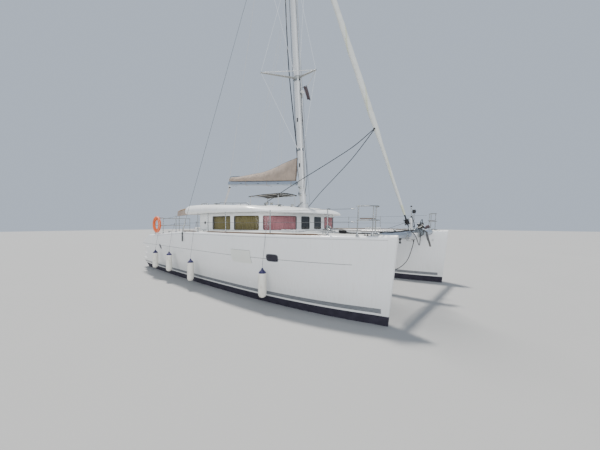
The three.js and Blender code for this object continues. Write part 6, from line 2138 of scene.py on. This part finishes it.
def bimini():
    """The canopy over the helm: stretched cloth with a short valance, on a frame of white tubes."""
    x0, x1, y0, y1, z0 = -3.42, -1.08, 1.23, 2.63, 3.6038
    along, across, hem_radius = 44, 30, 0.0045
    top, full = [], []
    for u in spaced(0, 1, along):
        row = []
        for v in spaced(0, 1, across):
            bulge = 0.045 * (1 - (2 * u - 1) ** 2) * 0.5 + 0.045 * (1 - (2 * v - 1) ** 2)
            bulge -= 0.012 * sin(pi * u) * (0.5 - 0.5 * cos(4 * pi * u))
            bulge += 0.003 * sin(v * 31 + 5 * u) * sin(pi * v)
            row.append(Vector((x0 + (x1 - x0) * u, y0 + (y1 - y0) * v, z0 + 0.018 + bulge)))
        top.append(row)
        # The cloth turns down at both sides in a short valance
        drop = 0.04 + 0.005 * sin(u * 40)
        full.append([row[0] + Vector((0, -0.012 * t, -drop * t)) for t in (1.0, 0.5)] + row
                    + [row[-1] + Vector((0, 0.012 * t, -drop * t)) for t in (0.5, 1.0)])
    build = Build()
    thin = Vector((0, 0, 0.002))
    build.loft([row + [p - thin for p in reversed(row)] for row in full])
    body = build.piece("bimini_canvas", "boat", "bimini", ["bimini"], 70, ["bimini_canopy"])
    trim = Build()
    for hem in ([row[0] for row in full], [row[-1] for row in full], full[0], full[-1]):
        trim.tube(hem, hem_radius, 8)
    for share in (0.25, 0.5, 0.75):
        trim.tube([p + Vector((0, 0, 0.0008)) for p in full[int(along * share)][2:-2]], 0.0025, 6)
    hem = trim.piece("bimini_trim", "boat", "bimini", ["bimini"], 60)
    cut_size(full, 17, 22)
    tubes = Build()
    fore, aft, inner, outer, level = -1.15, -3.35, 1.3, 2.56, 3.60
    corners = [(x, y) for x in (fore, aft) for y in (inner, outer)]
    for x, y in corners:
        if x == fore:
            foot = (roof_top(x, y) or 2.8) + 0.002
        else:
            foot = at(SHEER, x) + 0.012 if y > 2 else 1.67
        post(tubes, (x, y, foot), (x, y, level), 0.018)
    for x in (fore, aft):
        tubes.tube([(x, inner, level), (x, outer, level)], 0.013, 14)
    for y in (inner, outer):
        tubes.tube([(fore, y, level), (aft, y, level)], 0.013, 14)
    for x, y in corners:
        tubes.turn(even([(0, 0.017), (0.012, 0.012), (0.017, 0)]), (x, y, level), (0, 0, 1), 16)
    for x in (-1.8, -2.7):
        tubes.tube(curve([(x, y, level + rise)
                          for y, rise in ((inner, 0), (1.6, 0.03), (1.93, 0.042), (2.26, 0.03), (outer, 0))],
                         6), 0.010, 12)
    tubes.piece("bimini_tubes", "boat", "alloy", ["alloy"], 35, ["bimini_frame"])


def helm():
    """The pod on the cabin's aft face, with its instruments, and the wheel on its boss."""
    pod = Build()
    centre, way, back_x = Vector((-1.8, 1.9, 2.56)), Vector((-0.94, 0, 0.34)).normalized(), -1.31
    line = [(back_x, 1.62), (back_x, 2.82), (-1.335, 2.865), (-1.38, 2.87), (-1.50, 2.87), (-1.545, 2.862),
            (-1.572, 2.83), (-1.66, 2.59), (-1.775, 2.27), (-1.788, 2.23), (-1.785, 2.20), (-1.70, 1.64),
            (-1.69, 1.62)]
    # Places across, and how far the section shrinks there
    sections = [(1.57, 0.03), (1.576, 0.012), (1.60, 0.0), (2.20, 0.0), (2.224, 0.012), (2.23, 0.03)]
    middle = Vector((-1.5, 0, 2.25))
    rings = []
    for y, inset in sections:
        ring = []
        for x, z in line:
            towards = Vector((middle.x - x, 0, middle.z - z)).normalized() * inset
            ring.append((min(x + towards.x, back_x), y, z + towards.z))
        rings.append(ring)
    pod.loft(rings)
    pod.turn([(0, -0.15), (0.07, -0.15), (0.07, -0.05), (0.055, -0.02), (0.045, 0.0), (0, 0.0)],
             centre - way * 0.06, way, 28, 2)
    dial = 0.055
    for y in (1.68, 1.80, 2.0, 2.12):
        pod.turn([(0, 0), (dial, 0), (dial, 0.008), (dial * 0.85, 0.013), (dial * 0.84, 0.009), (0, 0.009)],
                 (-1.592, y, 2.775), Vector((-0.94, 0, 0.345)).normalized(), 28, 1)
    pod.block((-1.50, 1.72, 2.862), (-1.36, 2.08, 2.878), 0.008, 1)
    pod.piece("helm_console", "boat", "gelcoat", ["gelcoat", "dark_glass", "steel"], 35, ["helm_pod"])
    wheel = Build()
    across, rim = Vector((0, 1, 0)), 0.34
    side = way.cross(across).normalized()
    spin = lambda a, r: centre + (across * cos(a) + side * sin(a)) * r
    section = lambda a, radius, sides: [spin(a, rim + radius * cos(b)) + way * radius * sin(b)
                                        for b in turns(sides)]
    wheel.loft([section(a, 0.0155, 14) for a in turns(60)], 1, closed=True)
    # Its wrapping
    for i in range(60):
        wheel.tube(section(2 * pi * (i + 0.5) / 60, 0.0165, 12), 0.0011, 4, 1, closed=True)
    wheel.turn([(0, -0.059), (0.030, -0.059), (0.038, -0.05), (0.040, -0.01), (0.036, 0.008), (0.02, 0.018),
                (0, 0.02)], centre, way, 28)
    for a in turns(5):
        wheel.tube([spin(a, 0.02) + way * 0.004, spin(a, 0.18), spin(a, 0.33)], [0.011, 0.009, 0.0075], 12)
    wheel.piece("helm_wheel", "wheel", "steel", ["steel", "black"], 35, ["steering_wheel"])


PADS = []


def cushion(name, low, high, seams=0):
    """A flat-cut pad between two corners; the simulation below fills it."""
    crown, pull, inset, cell = 0.02, 0.012, 0.006, 0.028
    low, high = Vector(low), Vector(high)
    size = high - low
    nx, ny = max(10, int(size.x / cell)), max(10, int(size.y / cell))
    build = Build()

    def place(u, v, w):
        x = low.x + inset + (size.x - 2 * inset) * u + (1 - 2 * u) * pull * sin(pi * v) * abs(2 * u - 1)
        y = low.y + inset + (size.y - 2 * inset) * v + (1 - 2 * v) * pull * sin(pi * u) * abs(2 * v - 1)
        return Vector((x, y, low.z + 0.004 + (size.z - crown - 0.006) * w))

    build.loft([[place(i / nx, k / ny, 1) for k in range(ny + 1)]
                + [place(i / nx, k / ny, 0) for k in reversed(range(ny + 1))]
                for i in range(nx + 1)], caps=False)
    # The end walls
    width = 2 * (ny + 1)
    for i in (0, nx):
        for k in range(ny):
            face = [i * width + k, i * width + k + 1, i * width + width - 2 - k, i * width + width - 1 - k]
            build.faces.append(face if i else face[::-1])
            build.slots.append(0)
    pad = build.piece(name, "boat", "upholstery", ["cushion"], 60)
    PADS.append((pad, low, high, nx, ny, seams))


def fill_cushions():
    """Blows the pads up as cloth under pressure, then sews their channels and welts."""
    most, margin = 0.022, 0.0005
    flat = {pad.name: [v.co.copy() for v in pad.data.vertices] for pad, *_ in PADS}
    full = dict(flat)
    for pad, *_ in PADS:
        air = pad.modifiers.new("air", "CLOTH")
        air.settings.quality = 6
        air.settings.mass = 0.3
        air.settings.tension_stiffness = air.settings.compression_stiffness = 25
        air.settings.bending_stiffness = 0.4
        air.settings.use_pressure = True
        air.settings.uniform_pressure_force = 4
        air.settings.effector_weights.gravity = 0
        air.point_cache.frame_start, air.point_cache.frame_end = 1, 20
    scene = bpy.context.scene
    for step in range(1, 21):
        scene.frame_set(step)
    graph = bpy.context.evaluated_depsgraph_get()
    for pad, *_ in PADS:
        full[pad.name] = [v.co.copy() for v in pad.evaluated_get(graph).data.vertices]
    for pad, *_ in PADS:
        pad.modifiers.clear()
    scene.frame_set(1)
    for pad, low, high, nx, ny, seams in PADS:
        width = 2 * (ny + 1)
        for i, (vertex, old, new) in enumerate(zip(pad.data.vertices, flat[pad.name], full[pad.name])):
            row, column = divmod(i, width)
            u, v = row / nx, (column if column <= ny else width - 1 - column) / ny
            move = new - old
            spot = old + move * min(1.0, most / max(move.length, 1e-9))
            if column <= ny:
                for k in range(seams):
                    spot.z -= 0.011 * exp(-((v - (k + 1) / (seams + 1)) * (high.y - low.y) / 0.016) ** 2)
                spot.z += 0.0014 * sin(u * 17 + v * 5) * sin(v * 13)
            vertex.co = [min(max(value, a + margin), b - margin) for value, a, b in zip(spot, low, high)]
        points = [v.co.copy() for v in pad.data.vertices]
        border = [*points[:ny + 1], *[points[i * width + ny] for i in range(1, nx + 1)],
                  *reversed(points[nx * width:nx * width + ny]),
                  *[points[i * width] for i in range(nx - 1, 0, -1)]]
        welt = Build()
        welt.tube(border, 0.0042, 6, closed=True)
        welt.piece(pad.name + "_welt", "boat", "upholstery", ["cushion"], 60)
        shade(pad, 60)


def seats():
    """The cockpit bench, the helm's seat, the saloon's settee and table, and the pads on them."""
    bench = Build()
    bench.block((-4.5997, -1.30, 1.052), (-4.02, 1.0, 1.42), 0.02)
    bench.block((-4.5997, -1.30, 1.38), (-4.45, 1.0, 1.9), 0.03, segments=3)
    for low, high in ((-0.9, -0.2), (-0.1, 0.6)):
        bench.block((-4.03, low, 1.12), (-4.018, high, 1.36), 0.004)
    bench.piece("cockpit_seat", "boat", "gelcoat", ["gelcoat"], 35, ["cockpit_bench"])
    cushion("bench_pad_0", (-4.45, -1.28, 1.42), (-4.03, -0.16, 1.50), seams=1)
    cushion("bench_pad_1", (-4.45, -0.14, 1.42), (-4.03, 0.98, 1.50), seams=1)
    seat = Build()
    seat.block((-3.0, 1.45, 1.66), (-2.56, 2.35, 2.24), 0.03, segments=3)
    seat.block((-3.0, 1.45, 2.2), (-2.92, 2.35, 2.72), 0.03, segments=3)
    seat.tube(curve([(-2.99, 1.48, 2.5), (-3.0, 1.48, 2.6), (-3.0, 1.9, 2.70), (-3.0, 2.32, 2.6),
                     (-2.99, 2.32, 2.5)], 5), PIPE, 12, 1)
    seat.piece("helm_bench", "boat", "gelcoat", ["gelcoat", "steel"], 35, ["helm_seat"])
    cushion("helm_pad", (-2.91, 1.47, 2.24), (-2.57, 2.33, 2.31), seams=1)
    inside = Build()
    inside.block((1.4, -1.8297, SALOON_FLOOR), (1.8497, -0.3, 1.32), 0.01)
    inside.block((-0.5, -1.8297, SALOON_FLOOR), (1.45, -1.60, 1.32), 0.01)
    inside.piece("saloon_bench", "boat", "wood", ["wood"], 35, ["saloon_seat"])
    cushion("saloon_pad_0", (1.41, -1.58, 1.32), (1.84, -0.31, 1.41), seams=1)
    cushion("saloon_pad_1", (-0.49, -1.82, 1.32), (1.84, -1.60, 1.41))
    fill_cushions()
    table = Build()
    table.block((0.3, -1.5, 1.64), (1.25, -0.7, 1.67), 0.012, segments=3)
    table.turn([(0, 0.0), (0.16, 0.0), (0.16, 0.012), (0.05, 0.03), (0.045, 0.06), (0.045, 0.60),
                (0.09, 0.64), (0, 0.645)], (0.775, -1.1, SALOON_FLOOR), (0, 0, 1), 28, 1)
    table.piece("saloon_top", "boat", "wood", ["wood", "steel"], 35, ["saloon_table"])


def door():
    """The sliding leaf: a frame round a pane, with a bow handle."""
    build = Build()
    x0, x1, y0, y1, z0, z1 = -1.314, -1.286, -0.19, 0.74, 1.056, 2.39
    wide, lap, handle_y = 0.06, 0.002, 0.70
    left, right, low, high = y0 + wide, y1 - wide, z0 + wide, z1 - wide
    for ya, yb, za, zb in ((y0, left, z0, z1), (right, y1, z0, z1), (left - lap, right + lap, z0, low),
                           (left - lap, right + lap, high, z1)):
        build.block((x0, ya, za), (x1, yb, zb), 0.004)
    build.block((x0 + 0.010, left - 2 * lap, low - 2 * lap), (x1 - 0.012, right + 2 * lap, high + 2 * lap), 0,
                1)
    build.tube(curve([(x0 + dx, handle_y, z)
                      for dx, z in ((0.001, 1.75), (0, 1.76), (0, 1.9), (0, 2.04), (0.001, 2.05))], 4),
               0.006, 10, 2)
    build.piece("door_leaf", "door", "alloy", ["alloy", "glass", "steel"], 35, ["saloon_door"])


M = make_materials()
camera()
surroundings()
for side_name in SIDES:
    hull_piece(side_name)
cabin_wall()
windows()
roof_top = top_of(roof())
for make in (mast, spreaders, wires, halyards, boom, sail_cover, headsail, crossbeam, bow_lights, centre_beam,
             anchor, nets, windlass, rails, pulpits, lifebuoy, fenders, bridle, hull_trim, deck_gear,
             hung_coils, deck_hatches, roof_gear, mainsheet, awning, bimini, helm, seats, door):
    make()

PAINT = {
    "gelcoat": "gelcoat", "deck": "gelcoat", "antifoul": "antifoul", "glass": "glass", "steel": "steel",
    "alloy": "alloy", "canvas": "awning", "upholstery": "cushion", "cover": "cover", "bimini": "bimini",
    "sail": "sail", "drive": "black", "net": "net", "rope": "rope_black", "orange": "orange",
    "fender": "fender", "wood": "wood", "bronze": "bronze", "galvanised": "galvanised",
}
for entry in frame["record"]["subparts"]:
    node = nodes[entry["node"]]
    node.data.materials.clear()
    node.data.materials.append(M[PAINT[entry["material_slot"]]])
    shade(node, 30)
